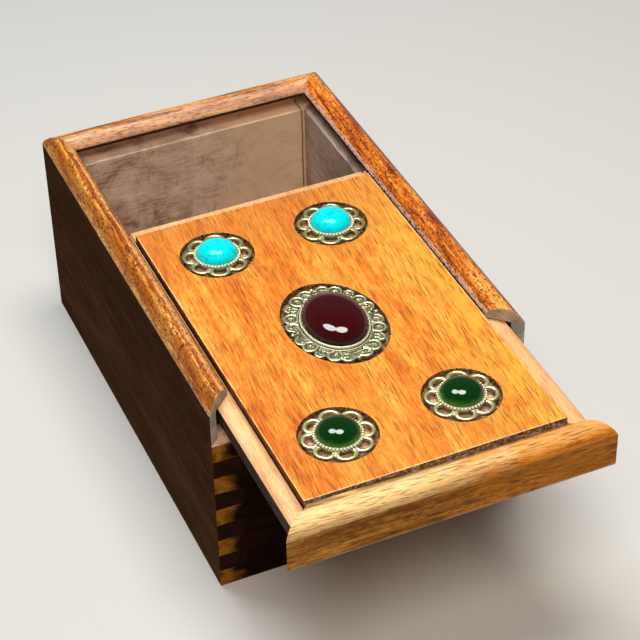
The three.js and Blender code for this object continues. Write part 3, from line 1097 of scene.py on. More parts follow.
    def build(self) -> list[Piece]:
        """Builds and dresses the case's boards.

        Returns:
            The new pieces.
        """
        woods = self._finishes()
        side, end = self._sort_side, self._sort_end
        boards = (
            ("left_side", side, "case_wood", "left inside_side mitre end outside"),
            ("right_side", side, "rim_wood", "right inside_side mitre end outside"),
            ("back_board", end, "rim_wood", "back inside_back mitre outside outside_end"),
            ("front_board", end, "case_wood", "front inside_back mitre outside front"),
        )
        pieces = [
            fettled(node, "case", self.eased, sort, [woods[key] for key in keys.split()])
            for node, sort, slot, keys in boards
        ]
        bottom = fettled(
            "bottom_panel",
            "case",
            self.panel_eased,
            lambda middle, normal: Face.LONG,
            [woods["bottom"]],
        )
        return [*pieces, bottom]


@dataclass
class Lid:
    """The sliding lid: a tongued panel with a raised field, and its moulded front rail.

    Attributes:
        eased: Width of the panel's eased edges in millimetres.
        rail_eased: Width of the front rail's eased edges.
        front: From the origin to the front rail's face.
        kerf: Width of the saw kerf behind the front rail.
        field_back: From the origin to the field's back end.
        tongue_edge: From the middle, where an upright face is the tongue's edge.
        worn_back: How far the rail's inner arris leans back, at the right and the left.
        worn_up: How far it is drawn up there.
    """

    eased: float = 0.3
    rail_eased: float = 0.45
    front: float = SIZES.half_length + SIZES.drawn
    kerf: float = 3.0
    field_back: float = 16.15
    tongue_edge: float = 58.0
    worn_back: tuple[float, float] = (1.1, 2.1)
    worn_up: tuple[float, float] = (0.3, 1.1)

    def _sort_panel(self, middle: Vector, normal: Vector) -> Face:
        """Sorts the panel's faces: field, tongue, kerf, recess walls and recess floors.

        Args:
            middle: Middle of the face in millimetres.
            normal: Its normal.

        Returns:
            What the face is.
        """
        on_field = abs(middle.x) < SIZES.field_half_width - 0.1
        behind_rail = middle.y + self.front - SIZES.board
        if normal.z > 0.9:
            if middle.z > SIZES.field - 0.2:
                return Face.LONG
            if abs(middle.z - SIZES.recess_floor) < 0.05:
                return Face.RAW
            in_kerf = on_field and behind_rail < self.kerf + 0.5
            return Face.MITRE if in_kerf else Face.INSIDE
        if abs(normal.x) > 0.9 and abs(abs(middle.x) - SIZES.field_half_width) < 0.2:
            return Face.SIDE
        if abs(normal.x) > 0.9 and abs(middle.x) > self.tongue_edge:
            return Face.OUTSIDE
        if abs(normal.z) < 0.5 and on_field and middle.z > SIZES.tongue + 0.3:
            if abs(behind_rail - self.kerf) < 0.3:
                return Face.MITRE
            in_recess = middle.y < self.field_back - 1 and behind_rail > self.kerf + 1
            return Face.RAW if in_recess else Face.INSIDE
        return Face.INSIDE

    def _sort_rail(self, middle: Vector, normal: Vector) -> Face:
        """Sorts the front rail's faces.

        Args:
            middle: Middle of the face in millimetres.
            normal: Its normal.

        Returns:
            What the face is.
        """
        if normal.y < -0.95:
            return Face.OUTSIDE
        return Face.MITRE if 0.5 < abs(normal.x) < 0.9 else Face.LONG

    def _lean_to_field(self, board: Mesh) -> None:
        """Draws the rail's inner arris up towards the field, most of all at its left end.

        Args:
            board: The rail, in metres.
        """
        near, right_end, span = 0.2, 10.0, 60.0
        mitre = SIZES.half_width - SIZES.board
        for corner in board.verts:
            place = corner.co / MM
            if place.y > SIZES.board - self.front - near and place.z > SIZES.lip:
                left = min(1.0, max(0.0, (right_end - place.x) / span))
                back, rise = (
                    least + (most - least) * left
                    for least, most in (self.worn_back, self.worn_up)
                )
                # At a mitre it moves along the cut, so that the closed rim still meets.
                inward = -math.copysign(back, place.x) if abs(place.x) > mitre - near else 0.0
                corner.co += Vector((inward, back, rise)) * MM

    def _panel_finishes(self) -> list[Material]:
        """Builds the panel's woods, by what a face is.

        Returns:
            The materials in slot order.
        """
        wear_and_highlight_side = Ruler(Axis.EITHER, -1.0, SIZES.field_half_width)
        wear_and_highlight_front = Ruler(Axis.ALONG, 1.0, self.front - SIZES.board - self.kerf)
        wear_and_highlight_end = Ruler(Axis.ALONG, -1.0, self.field_back)
        # Oiled to a bright orange, golden to the right, browner to the back, with pale arrises.
        top = WoodFinish(
            "oiled mahogany lid field",
            Grain.ALONG_Y,
            ("#D86E1C", "#EE8E2E", "#FAAA42"),
            Ruler(Axis.ACROSS),
            (
                Patch(36.0, 300.0, 40.0, "#FAC044", 0.6),
                Patch(-12.0, 60.0, 44.0, "#CC7C38", 0.5, Ruler(Axis.ALONG)),
                # Pale arrises: wear and a painted highlight.
                Patch(-1.0, 0.5, 0.35, "#FFE0A4", 0.6, wear_and_highlight_side),
                Patch(-1.0, 0.5, 0.35, "#FFE0A4", 0.6, wear_and_highlight_front),
                Patch(-1.0, 0.6, 0.4, "#FFDCA8", 0.5, wear_and_highlight_end),
            ),
            pore="#96400F",
            pore_amount=0.75,
            pore_width=0.24,
            pore_stretch=0.032,
            figure=9.0,
            contrast=1.2,
            mottle=0.5,
            curl=5.0,
            roughness=0.4,
            gloss=0.3,
            shift=(12.0, 3.0, 0.0),
        )
        # Planed but not oiled: pale and dull, rubbed yellowish in the groove.
        tongue = WoodFinish(
            "planed mahogany lid tongue",
            Grain.ALONG_Y,
            ("#D8975C", "#E8B47C", "#F2CA9A"),
            Ruler(Axis.EITHER),
            (
                Patch(54.3, 57.4, 2.0, "#FFE0A0", 0.5),
                Patch(58.6, 61.0, 0.8, "#C08C74", 0.5),
                Patch(30.0, 80.0, 20.0, "#E0A468", 0.5, Ruler(Axis.ACROSS)),
            ),
            pore="#A86A38",
            pore_amount=0.4,
            figure=6.0,
            roughness=0.6,
            gloss=0.2,
            sheen_coat=0.0,
        )
        # Torn by the saw: splinters go from near black to bare wood within a millimetre.
        channel = SawnFinish(
            "rough sawn mahogany channel",
            Grain.ALONG_X,
            ("#3A2A1E", "#7C6450", "#D0BCA2"),
            cloud=1.3,
            scratch=0.5,
            streak=0.3,
            bump=0.3,
        )
        # Pale bare wood with a dark ragged ring round each flower: glue and painted shade.
        floor = RecessFinish("chiselled mahogany recess", FLOWER_MIDDLES)
        # Near black as painted shade in the groove that the edge runs in.
        edge = SawnFinish(
            "soiled mahogany tongue edge",
            Grain.ALONG_Y,
            ("#201510", "#3A2A20", "#584234"),
            cloud=16.0,
        )
        # Painted shade on the field's upright sides; a warm line where the top's oil ran over the
        # arris.
        side = replace(
            edge,
            name="mahogany field side, painted shade",
            tones=("#1A100A", "#3E281C", "#84604E"),
            patches=(Patch(87.2, 90.0, 0.7, "#9A5A2A", 0.7),),
        )
        return [finish.build() for finish in (top, tongue, channel, floor, edge, side)]

    def _rail_finishes(self) -> list[Material]:
        """Builds the front rail's woods, by what a face is.

        Returns:
            The materials in slot order.
        """
        # Glossy varnish, orange to the right, with painted highlights and a painted shade line.
        crest = WoodFinish(
            "varnished mahogany lid rail",
            Grain.ALONG_X,
            ("#B46414", "#F09A38", "#FFC470"),
            Ruler(Axis.ALONG, 1.0, self.front),
            (
                # Painted shade: darker at the front and a dark line where the crest turns down.
                Patch(-3.0, 1.0, 0.5, "#9A5A14", 0.6),
                Patch(0.7, 1.2, 0.3, "#4E260A", 0.6),
                # Painted highlight: pale gold over the crest.
                Patch(1.8, 9.4, 2.4, "#FFD68A", 0.8),
                Patch(5.0, 90.0, 50.0, "#E8861C", 0.6, Ruler(Axis.ACROSS)),
                # Painted highlight: paler over the left part.
                Patch(-90.0, 8.0, 60.0, "#FFE4A4", 0.4, Ruler(Axis.ACROSS)),
            ),
            pore="#6A300C",
            pore_amount=0.65,
            pore_width=0.36,
            pore_stretch=0.05,
            figure=5.0,
            contrast=1.3,
            mottle=0.8,
            roughness=0.36,
            gloss=0.2,
            sheen_coat=0.06,
            shift=(3.0, 11.0, 2.0),
        ).build()
        # Darker and duller than the crest, worn pale along its lower arris.
        face = WoodFinish(
            "darkened mahogany rail face",
            Grain.ALONG_X,
            ("#74420F", "#9C621E", "#C68636"),
            Ruler(Axis.UP),
            (
                Patch(5.0, 90.0, 50.0, "#D07A1C", 0.5, Ruler(Axis.ACROSS)),
                Patch(72.0, 74.3, 0.6, "#D8A468", 0.5),
            ),
            pore="#3A1C08",
            pore_width=0.4,
            pore_stretch=0.05,
            figure=4.0,
            contrast=1.3,
            mottle=0.6,
            curl=2.4,
            roughness=0.5,
            gloss=0.08,
            sheen_coat=0.0,
            shift=(9.0, 2.0, 5.0),
        ).build()
        # Clean sawn wood, the palest of all.
        mitre = SawnFinish(
            "sawn mahogany rail mitre",
            Grain.ALONG_X,
            ("#C89A68", "#E2BE90", "#F2D8B0"),
            cloud=5.0,
            scratch=0.5,
        ).build()
        return [crest, crest, mitre, crest, face]

    def build(self) -> list[Piece]:
        """Builds and dresses the panel and the front rail.

        Returns:
            The new pieces.
        """
        woods = self._panel_finishes()
        panel = fettled("lid_panel", "lid", self.eased, self._sort_panel, woods)
        rail = fettled(
            "lid_front_rail",
            "lid",
            self.rail_eased,
            self._sort_rail,
            self._rail_finishes(),
            self._lean_to_field,
        )
        return [panel, rail]


def oval_ring(
    mesh: Mesh, middle: Vector, ring: Triple, count: int, unit: float
) -> list[bmesh.types.BMEdge]:
    """Adds a ring of edges on an oval.

    Args:
        mesh: The bmesh to add to.
        middle: Middle of the oval in millimetres.
        ring: Half its sizes in X and Y and its height, in millimetres.
        count: Number of corners.
        unit: A millimetre in the unit of the bmesh.

    Returns:
        The ring's edges.
    """
    across, along, height = (size * unit for size in ring)
    place = Matrix.Translation((middle.x * unit, middle.y * unit, height))
    oval = place @ Matrix.Diagonal((across, along, 1.0, 1.0))
    made = bmesh.ops.create_circle(mesh, segments=count, radius=1.0, matrix=oval)
    corners = set(made["verts"])
    return [edge for edge in mesh.edges if corners.issuperset(edge.verts)]


def oval_loft(
    mesh: Mesh,
    middle: Vector,
    rings: Sequence[Triple],
    count: int,
    closed: bool = False,
    unit: float = 1.0,
) -> None:
    """Bridges rings on ovals into one skin, closed on itself or capped at both ends.

    Args:
        mesh: The bmesh to add to.
        middle: Middle of the ovals in millimetres.
        rings: Half sizes in X and Y and the height of each ring, in millimetres.
        count: Number of corners in a ring.
        closed: Whether the last ring joins the first; otherwise both are capped.
        unit: A millimetre in the unit of the bmesh.
    """
    loops = [oval_ring(mesh, middle, ring, count, unit) for ring in rings]
    for first, second in zip(loops, loops[1:] + loops[:1] if closed else loops[1:]):
        bmesh.ops.bridge_loops(mesh, edges=first + second)
    for loop in () if closed else (loops[0], loops[-1]):
        bmesh.ops.holes_fill(mesh, edges=loop, sides=count)
    bmesh.ops.recalc_face_normals(mesh, faces=mesh.faces)


def arc_wire(
    mesh: Mesh,
    radius: float,
    stretch: tuple[float, float],
    sweep: float,
    wire: float,
    place: Matrix,
    steps: int = 22,
    sides: int = 10,
) -> None:
    """Adds a round wire bent round an oval arc that opens towards -X.

    Args:
        mesh: The bmesh to add to, in millimetres.
        radius: Radius of the arc before it is stretched.
        stretch: Factors on X and Y that make it oval.
        sweep: Angle in degrees to each side of its tip.
        wire: Thickness of the wire.
        place: Where the arc's middle goes.
        steps: Steps along the arc.
        sides: Sides of the wire.
    """
    start = Matrix.Rotation(-math.radians(sweep), 4, "Z") @ Matrix.Translation((radius, 0, 0))
    before = set(mesh.verts)
    section = bmesh.ops.create_circle(
        mesh,
        cap_ends=True,
        segments=sides,
        radius=wire / 2,
        matrix=start @ Matrix.Rotation(TURN / 4, 4, "X"),
    )
    bmesh.ops.spin(
        mesh,
        geom=list({face for corner in section["verts"] for face in corner.link_faces}),
        cent=(0, 0, 0),
        axis=(0, 0, 1),
        angle=2 * math.radians(sweep),
        steps=steps,
        use_duplicate=False,
    )
    added = [corner for corner in mesh.verts if corner not in before]
    shape = place @ Matrix.Diagonal((*stretch, 1.0, 1.0))
    bmesh.ops.transform(mesh, matrix=shape, verts=added)


def ball(mesh: Mesh, place: Vector, diameter: float, fineness: int = 2) -> None:
    """Adds a ball at a place in millimetres."""
    bmesh.ops.create_icosphere(
        mesh, subdivisions=fineness, radius=diameter / 2, matrix=Matrix.Translation(place)
    )


def in_metres(mesh: Mesh) -> Mesh:
    """Shrinks a bmesh from millimetres to metres and gives it back."""
    bmesh.ops.scale(mesh, vec=(MM,) * 3, verts=mesh.verts)
    return mesh


def cast(mesh: Mesh, grit: float, passes: int) -> Mesh:
    """Fuses overlapping shapes into one skin with softened joints, as a casting has.

    Args:
        mesh: The overlapping closed shapes in millimetres; it is freed.
        grit: Size of the skin's facets in millimetres.
        passes: How often the skin is smoothed.

    Returns:
        The skin, in metres.
    """
    bmesh.ops.recalc_face_normals(mesh, faces=mesh.faces)
    rough = bpy.data.meshes.new("rough")
    in_metres(mesh).to_mesh(rough)
    mesh.free()
    maker = bpy.data.objects.new("rough", rough)
    bpy.context.scene.collection.objects.link(maker)
    remesh = maker.modifiers.new("fuse", "REMESH")
    remesh.mode = "VOXEL"
    remesh.voxel_size = grit * MM
    evaluated = maker.evaluated_get(bpy.context.evaluated_depsgraph_get())
    fused = bpy.data.meshes.new_from_object(evaluated)
    skin = bmesh.new()
    skin.from_mesh(fused)
    bpy.data.objects.remove(maker)
    for spent in (rough, fused):
        bpy.data.meshes.remove(spent)
    axes = {f"use_axis_{axis}": True for axis in "xyz"}
    for _ in range(passes):
        bmesh.ops.smooth_vert(skin, verts=skin.verts, factor=0.5, **axes)
    return skin


class StoneKind(Enum):
    """What a stone is."""

    TURQUOISE = "turquoise"
    GREEN = "green_stone"
    RED = "red_stone"


@dataclass
class Medallion:
    """A stone in a bezel, in a cast setting that lies in a recess of the lid.

    Attributes:
        place: The end of its nodes' names.
        middle: Its middle in the lid's plane, in millimetres at rest.
        kind: What the stone is.
        stone: Half the stone's sizes in X and Y.
        dome: Height of the stone over the rim.
        flatness: Exponent of the dome, over 2 for a flatter top.
        rim: Height of the bezel's rim.
        seat: Height of the bezel's under face.
    """

    place: str
    middle: tuple[float, float]
    kind: StoneKind
    stone: tuple[float, float] = (8.3, 8.3)
    dome: float = 4.6
    flatness: float = 2.15
    rim: float = 90.1
    seat: float = 88.2

    def _centre(self) -> Vector:
        """Gives the medallion's middle."""
        return Vector((*self.middle, 0.0))

    def _piece(
        self, mesh: Mesh, name: str, node: str, slot: str, finish: Material, smooth_under: float
    ) -> Piece:
        """Finishes one piece of the medallion.

        Args:
            mesh: The bmesh in metres; it is freed.
            name: The piece's name.
            node: The start of the name of the node that it replaces.
            slot: Not used.
            finish: Its material.
            smooth_under: Angle in degrees over which an edge is drawn sharp.

        Returns:
            The new object.
        """
        replaced = f"{node}_{self.place}"
        return finish_mesh(mesh, name, "lid", replaced, [finish], smooth_under)

    def _cabochon(self, finish: Material) -> Piece:
        """Builds the stone: an upright girdle and a smooth dome.

        Args:
            finish: The stone's material.

        Returns:
            The new object.
        """
        across, along = self.stone
        # The girdle is hidden from half a millimetre under the bezel's rim.
        hidden = 0.5
        rings = [(across, along, self.seat + 0.6)]
        steps = 22
        for step in range(steps):
            angle = step / steps * TURN / 4
            share = math.cos(angle) ** (2 / self.flatness)
            rise = (self.dome + hidden) * math.sin(angle) ** (2 / self.flatness)
            rings.append((across * share, along * share, self.rim - hidden + rise))
        mesh = bmesh.new()
        oval_loft(mesh, self._centre(), rings, 96)
        name, slot = f"cabochon_{self.place}", self.kind.value
        return self._piece(in_metres(mesh), name, "stone", slot, finish, 60.0)

    def _setting(self, finish: Material) -> Piece:
        """Builds the cast setting."""
        raise NotImplementedError

    def _bezel(self, finish: Material) -> Piece:
        """Builds the cup that holds the stone."""
        raise NotImplementedError

    def build(self, metal: Material, rim: Material, stone: Material) -> list[Piece]:
        """Builds the whole medallion.

        Args:
            metal: Finish of the setting.
            rim: Finish of the bezel.
            stone: Finish of the stone.

        Returns:
            The new pieces.
        """
        return [self._setting(metal), self._bezel(rim), self._cabochon(stone)]


@dataclass
class FlowerMedallion(Medallion):
    """A small round medallion: eight open petals round a beaded bezel.

    Attributes:
        turn: Turn of the flower in degrees.
        petals: Number of petals.
        reach: From the middle to the petals' tips.
        depth: Half the depth of a petal, to the middle of its wire.
        sweep: Angle in degrees that a petal bends to each side of its tip.
        wire: Thickness of the petals.
        beads: Number of beads round the bezel.
        bead: Diameter of a bead.
    """

    turn: float = 0.0
    petals: int = 8
    reach: float = 14.25
    depth: float = 2.95
    sweep: float = 132.0
    wire: float = 1.85
    beads: int = 42
    bead: float = 1.14

    def _setting(self, finish: Material) -> Piece:
        """Builds the cast flower.

        Args:
            finish: The metal.

        Returns:
            The new object.
        """
        mesh = bmesh.new()
        middle = self._centre()
        axis = self.reach - self.wire / 2 - self.depth
        # Neighbouring petals overlap by a tenth of a millimetre each, so that they fuse.
        spread = axis * math.tan(TURN / 2 / self.petals) - self.wire / 2 + 0.12
        middle.z = SIZES.field + 0.1 - self.wire / 2
        for petal in range(self.petals):
            angle = math.radians(self.turn) + petal / self.petals * TURN
            turned = Matrix.Translation(middle) @ Matrix.Rotation(angle, 4, "Z")
            place = turned @ Matrix.Translation((axis, 0, 0))
            arc_wire(mesh, self.depth, (1.0, spread / self.depth), self.sweep, self.wire, place)
        name = f"flower_{self.place}"
        return self._piece(cast(mesh, 0.19, 2), name, "setting", "antique_brass", finish, 80.0)

    def _bezel(self, finish: Material) -> Piece:
        """Builds the cup with its ring of beads.

        Args:
            finish: The metal.

        Returns:
            The new object.
        """
        inner = self.stone[0] + 0.02
        # Past the inside and over the seat or under the rim: shelf, thin lip, rim.
        profile = (
            (0.0, self.seat + 0.05),
            (0.95, self.seat + 0.05),
            (0.95, self.rim - 0.95),
            (0.26, self.rim - 0.8),
            (0.16, self.rim - 0.15),
            (0.05, self.rim),
            (0.0, self.rim - 0.1),
        )
        rings = [(inner + out, inner + out, height) for out, height in profile]
        mesh = bmesh.new()
        oval_loft(mesh, self._centre(), rings, 84, closed=True)
        # The beads stand round the lip, half a millimetre out.
        ring = inner + 0.66
        for count in range(self.beads):
            angle = (count + 0.5) / self.beads * TURN
            place = Vector((ring * math.cos(angle), ring * math.sin(angle), self.rim - 0.4))
            ball(mesh, self._centre() + place, self.bead)
        name = f"beaded_bezel_{self.place}"
        return self._piece(in_metres(mesh), name, "bezel", "antique_brass", finish, 50.0)


class Motif(Enum):
    """Ornament of the oval border."""

    SCALLOP = "scallop"
    SCROLL = "scroll"
    LEAF = "leaf"


@dataclass
class OvalMedallion(Medallion):
    """The centre medallion: a smooth double-ring bezel in a border of scallops and scrolls.

    Attributes:
        border: Half the border's sizes in X and Y.
        lobe: Diameter of a lobe.
        plate: Heights of the plate's under and upper faces.
    """

    border: tuple[float, float] = (19.0, 24.0)
    lobe: float = 6.3
    plate: tuple[float, float] = (86.9, 88.5)

    def _motifs(self) -> list[tuple[Motif, float, int]]:
        """Gives each motif, its angle on the oval in radians and the way that it turns.

        Returns:
            A motif, an angle and 1 or -1 for each lobe.
        """
        quarter = (
            (Motif.SCROLL, 11.5),
            (Motif.SCALLOP, 26.0),
            (Motif.LEAF, 42.5),
            (Motif.SCALLOP, 60.0),
            (Motif.SCROLL, 77.5),
        )
        found = []
        for motif, at in quarter:
            away = 1 if at < 45 else -1
            for angle, way in ((at, away), (180 - at, -away), (180 + at, away), (360 - at, -away)):
                found.append((motif, math.radians(angle), way))
        return found

    def _lobe_place(self, angle: float) -> tuple[Vector, float]:
        """Gives the middle of a lobe and the direction straight out of the oval there.

        Args:
            angle: The lobe's angle on the oval, in radians.

        Returns:
            The middle in millimetres from the oval's, and the direction in radians.
        """
        across, along = (half - self.lobe / 2 for half in self.border)
        point = Vector((across * math.cos(angle), along * math.sin(angle), 0.0))
        return point, math.atan2(math.sin(angle) / along, math.cos(angle) / across)

    def _scallop(self, mesh: Mesh, place: Matrix) -> None:
        """Adds an open ring with a bead in its middle."""
        arc_wire(mesh, 0.41 * self.lobe, (1.05, 1.0), 160.0, 1.3, place, 20, 8)
        ball(mesh, place @ Vector((-0.1, 0, 0.1)), 0.29 * self.lobe)

    def _leaf(self, mesh: Mesh, place: Matrix) -> None:
        """Adds a pointed arch with a vein.

        Args:
            mesh: The bmesh to add to, in millimetres.
            place: Where the lobe goes.
        """
        for way in (1, -1):
            lean = Matrix.Rotation(way * math.radians(24), 4, "Z")
            arch = place @ Matrix.Translation((-0.6, -way * 0.75, 0)) @ lean
            arc_wire(mesh, 0.53 * self.lobe, (1.0, 0.8), 46.0, 1.25, arch, 12, 8)
        vein = place @ Matrix.Translation((-0.5, 0, 0))
        arc_wire(mesh, 0.2 * self.lobe, (1.3, 0.75), 120.0, 0.65, vein, 12, 6)

    def _scroll(self, mesh: Mesh, place: Matrix, way: int) -> None:
        """Adds a hook that curls in on itself, and its eye.

        Args:
            mesh: The bmesh to add to, in millimetres.
            place: Where the lobe goes.
            way: 1 or -1, the way that it turns.
        """
        flip = place @ Matrix.Rotation(way * math.radians(35), 4, "Z")
        arc_wire(mesh, 0.4 * self.lobe, (1.05, 0.95), 125.0, 1.3, flip, 18, 8)
        curl = flip @ Matrix.Translation((0.1, way * 0.9, 0)) @ Matrix.Rotation(way * 1.4, 4, "Z")
        arc_wire(mesh, 0.17 * self.lobe, (1.0, 1.0), 120.0, 0.95, curl, 12, 6)

    def _plate(self, mesh: Mesh) -> None:
        """Adds the border's plate on its foot, and the fine line at the foot of the bezel.

        Args:
            mesh: The bmesh to add to, in millimetres.
        """
        low, high = self.plate
        # Past the stone's or within the border's half sizes, and the height.
        by_stone, by_border = self.stone, self.border
        plate = (
            (by_stone, 1.6, SIZES.recess_floor),
            (by_stone, 1.6, low),
            (by_border, -2.4, low),
            (by_border, -1.9, low + 0.3),
            (by_border, -1.9, high - 0.8),
            (by_border, -2.2, high - 0.65),
            (by_stone, 2.2, high - 0.65),
            (by_stone, 1.9, high - 0.25),
        )
        line = (
            (by_stone, 1.2, high - 0.9),
            (by_stone, 2.0, high - 0.9),
            (by_stone, 1.9, high + 0.1),
            (by_stone, 1.3, high + 0.1),
        )
        for profile, closed in ((plate, False), (line, True)):
            rings = [(half[0] + out, half[1] + out, height) for half, out, height in profile]
            oval_loft(mesh, self._centre(), rings, 96, closed)

    def _setting(self, finish: Material) -> Piece:
        """Builds the cast border.

        Args:
            finish: The metal.

        Returns:
            The new object.
        """
        high = self.plate[1]
        mesh = bmesh.new()
        self._plate(mesh)
        for motif, angle, way in self._motifs():
            point, outward = self._lobe_place(angle)
            place = Matrix.Translation(self._centre() + point + Vector((0, 0, high + 0.05)))
            place = place @ Matrix.Rotation(outward, 4, "Z")
            bmesh.ops.create_cone(
                mesh,
                cap_ends=True,
                segments=20,
                radius1=self.lobe / 2 - 0.2,
                radius2=self.lobe / 2 - 0.35,
                depth=1.0,
                matrix=place @ Matrix.Translation((0, 0, -0.95)),
            )
            if motif is Motif.SCALLOP:
                self._scallop(mesh, place)
            elif motif is Motif.LEAF:
                self._leaf(mesh, place)
            else:
                self._scroll(mesh, place, way)
        for quarter in range(4):
            point, outward = self._lobe_place(quarter / 4 * TURN)
            out = Vector((math.cos(outward), math.sin(outward), 0)) * 1.6
            ball(mesh, self._centre() + point + out + Vector((0, 0, high - 0.1)), 2.1, 3)
        skin = cast(mesh, 0.2, 1)
        return self._piece(skin, "oval_border", "setting", "antique_brass", finish, 80.0)

    def _bezel(self, finish: Material) -> Piece:
        """Builds the smooth bezel: a thin upright lip inside a heavier rounded ring.

        Args:
            finish: The metal.

        Returns:
            The new object.
        """
        across, along = self.stone
        ring = (
            (0.02, 0.05),
            (1.55, 0.05),
            (1.68, 0.5),
            (1.58, 0.85),
            (1.35, 1.0),
            (1.1, 0.92),
            (0.92, 0.7),
            (0.78, 0.7),
            (0.7, 0.9),
        )
        lip = ((0.66, -0.25), (0.52, -0.04), (0.3, 0.0), (0.08, -0.06), (0.02, -0.3))
        rings = [
            (across + out, along + out, base + height)
            for base, profile in ((self.seat, ring), (self.rim, lip))
            for out, height in profile
        ]
        mesh = bmesh.new()
        # It is made in metres, as a step of its profile bridges otherwise in millimetres.
        oval_loft(mesh, self._centre(), rings, 128, closed=True, unit=MM)
        return self._piece(mesh, "double_bezel", "bezel", "antique_brass", finish, 55.0)


@dataclass
class Inlay:
    """The five medallions and their metals and stones.

    Attributes:
        patina_and_shade_under: Height in millimetres under which settings are patina and painted
            shade.
        rubbed_and_lit_over: Height over which they are rubbed bright, with a painted highlight.
    """

    patina_and_shade_under: float = 87.8
    rubbed_and_lit_over: float = 89.15

    def build(self) -> list[Piece]:
        """Builds all the medallions.

        Returns:
            The new pieces.
        """
        # Pale yellowish metal that glints, with dark olive hollows.
        metal = AntiqueBrassFinish("antiqued cast brass", self.patina_and_shade_under, self.rubbed_and_lit_over)
        # The two flowers with turquoise are darker and browner.
        dull = replace(
            metal,
            name="antiqued cast brass, darker",
            rubbed="#D8CE90",
            middle="#706844",
            patina="#1A1406",
        )
        # The border is greyer and paler, and its hollows hold less patina.
        lace = replace(
            metal,
            name="antiqued cast brass, border",
            high=89.1,
            rubbed="#DEDEB6",
            middle="#B0AE8A",
            patina="#544E32",
        )
        # Beads' tops almost white, rubbed and painted highlight, black patina between them.
        rim = AntiqueBrassFinish(
            "rubbed cast brass bezel",
            88.9,
            89.9,
            "#FFFCDC",
            "#CCC496",
            "#1E180A",
            reach=0.7,
            roughness=0.42,
            metallic=0.6,
        ).build()
        # Glassy bottle green with a painted glow at its edge, near black red with one in its
        # middle.
        green = DeepStoneFinish("polished green agate", "#033203", "#3A8812", 89.4, 92.6).build()
        red = DeepStoneFinish("polished red agate", "#3C0206", "#140104", 89.8, 94.2).build()
        # Waxy sky blue, one stone with a clear crackle and one almost even.
        veined = TurquoiseFinish("polished turquoise, veined")
        even = replace(
            veined,
            name="polished turquoise, even",
            vein_amount=0.45,
            cell=6.0,
            shift=(9.0, 4.0, 2.0),
        )
        bright, dark = metal.build(), dull.build()
        blue, green_kind = StoneKind.TURQUOISE, StoneKind.GREEN
        flowers = (
            ("back_left", blue, -15.3, dark, veined.build()),
            ("back_right", blue, 20.8, dark, even.build()),
            ("front_left", green_kind, -7.0, bright, green),
            ("front_right", green_kind, -18.4, bright, green),
        )
        pieces = []
        for middle, (place, kind, turn, setting, stone) in zip(FLOWER_MIDDLES, flowers):
            flower = FlowerMedallion(place, middle, kind, turn=turn)
            pieces += flower.build(setting, rim, stone)
        centre = OvalMedallion(
            "centre", (-1.8, -69.55), StoneKind.RED, (12.45, 16.05), dome=6.0, flatness=2.45
        )
        return pieces + centre.build(lace.build(), rim, red)


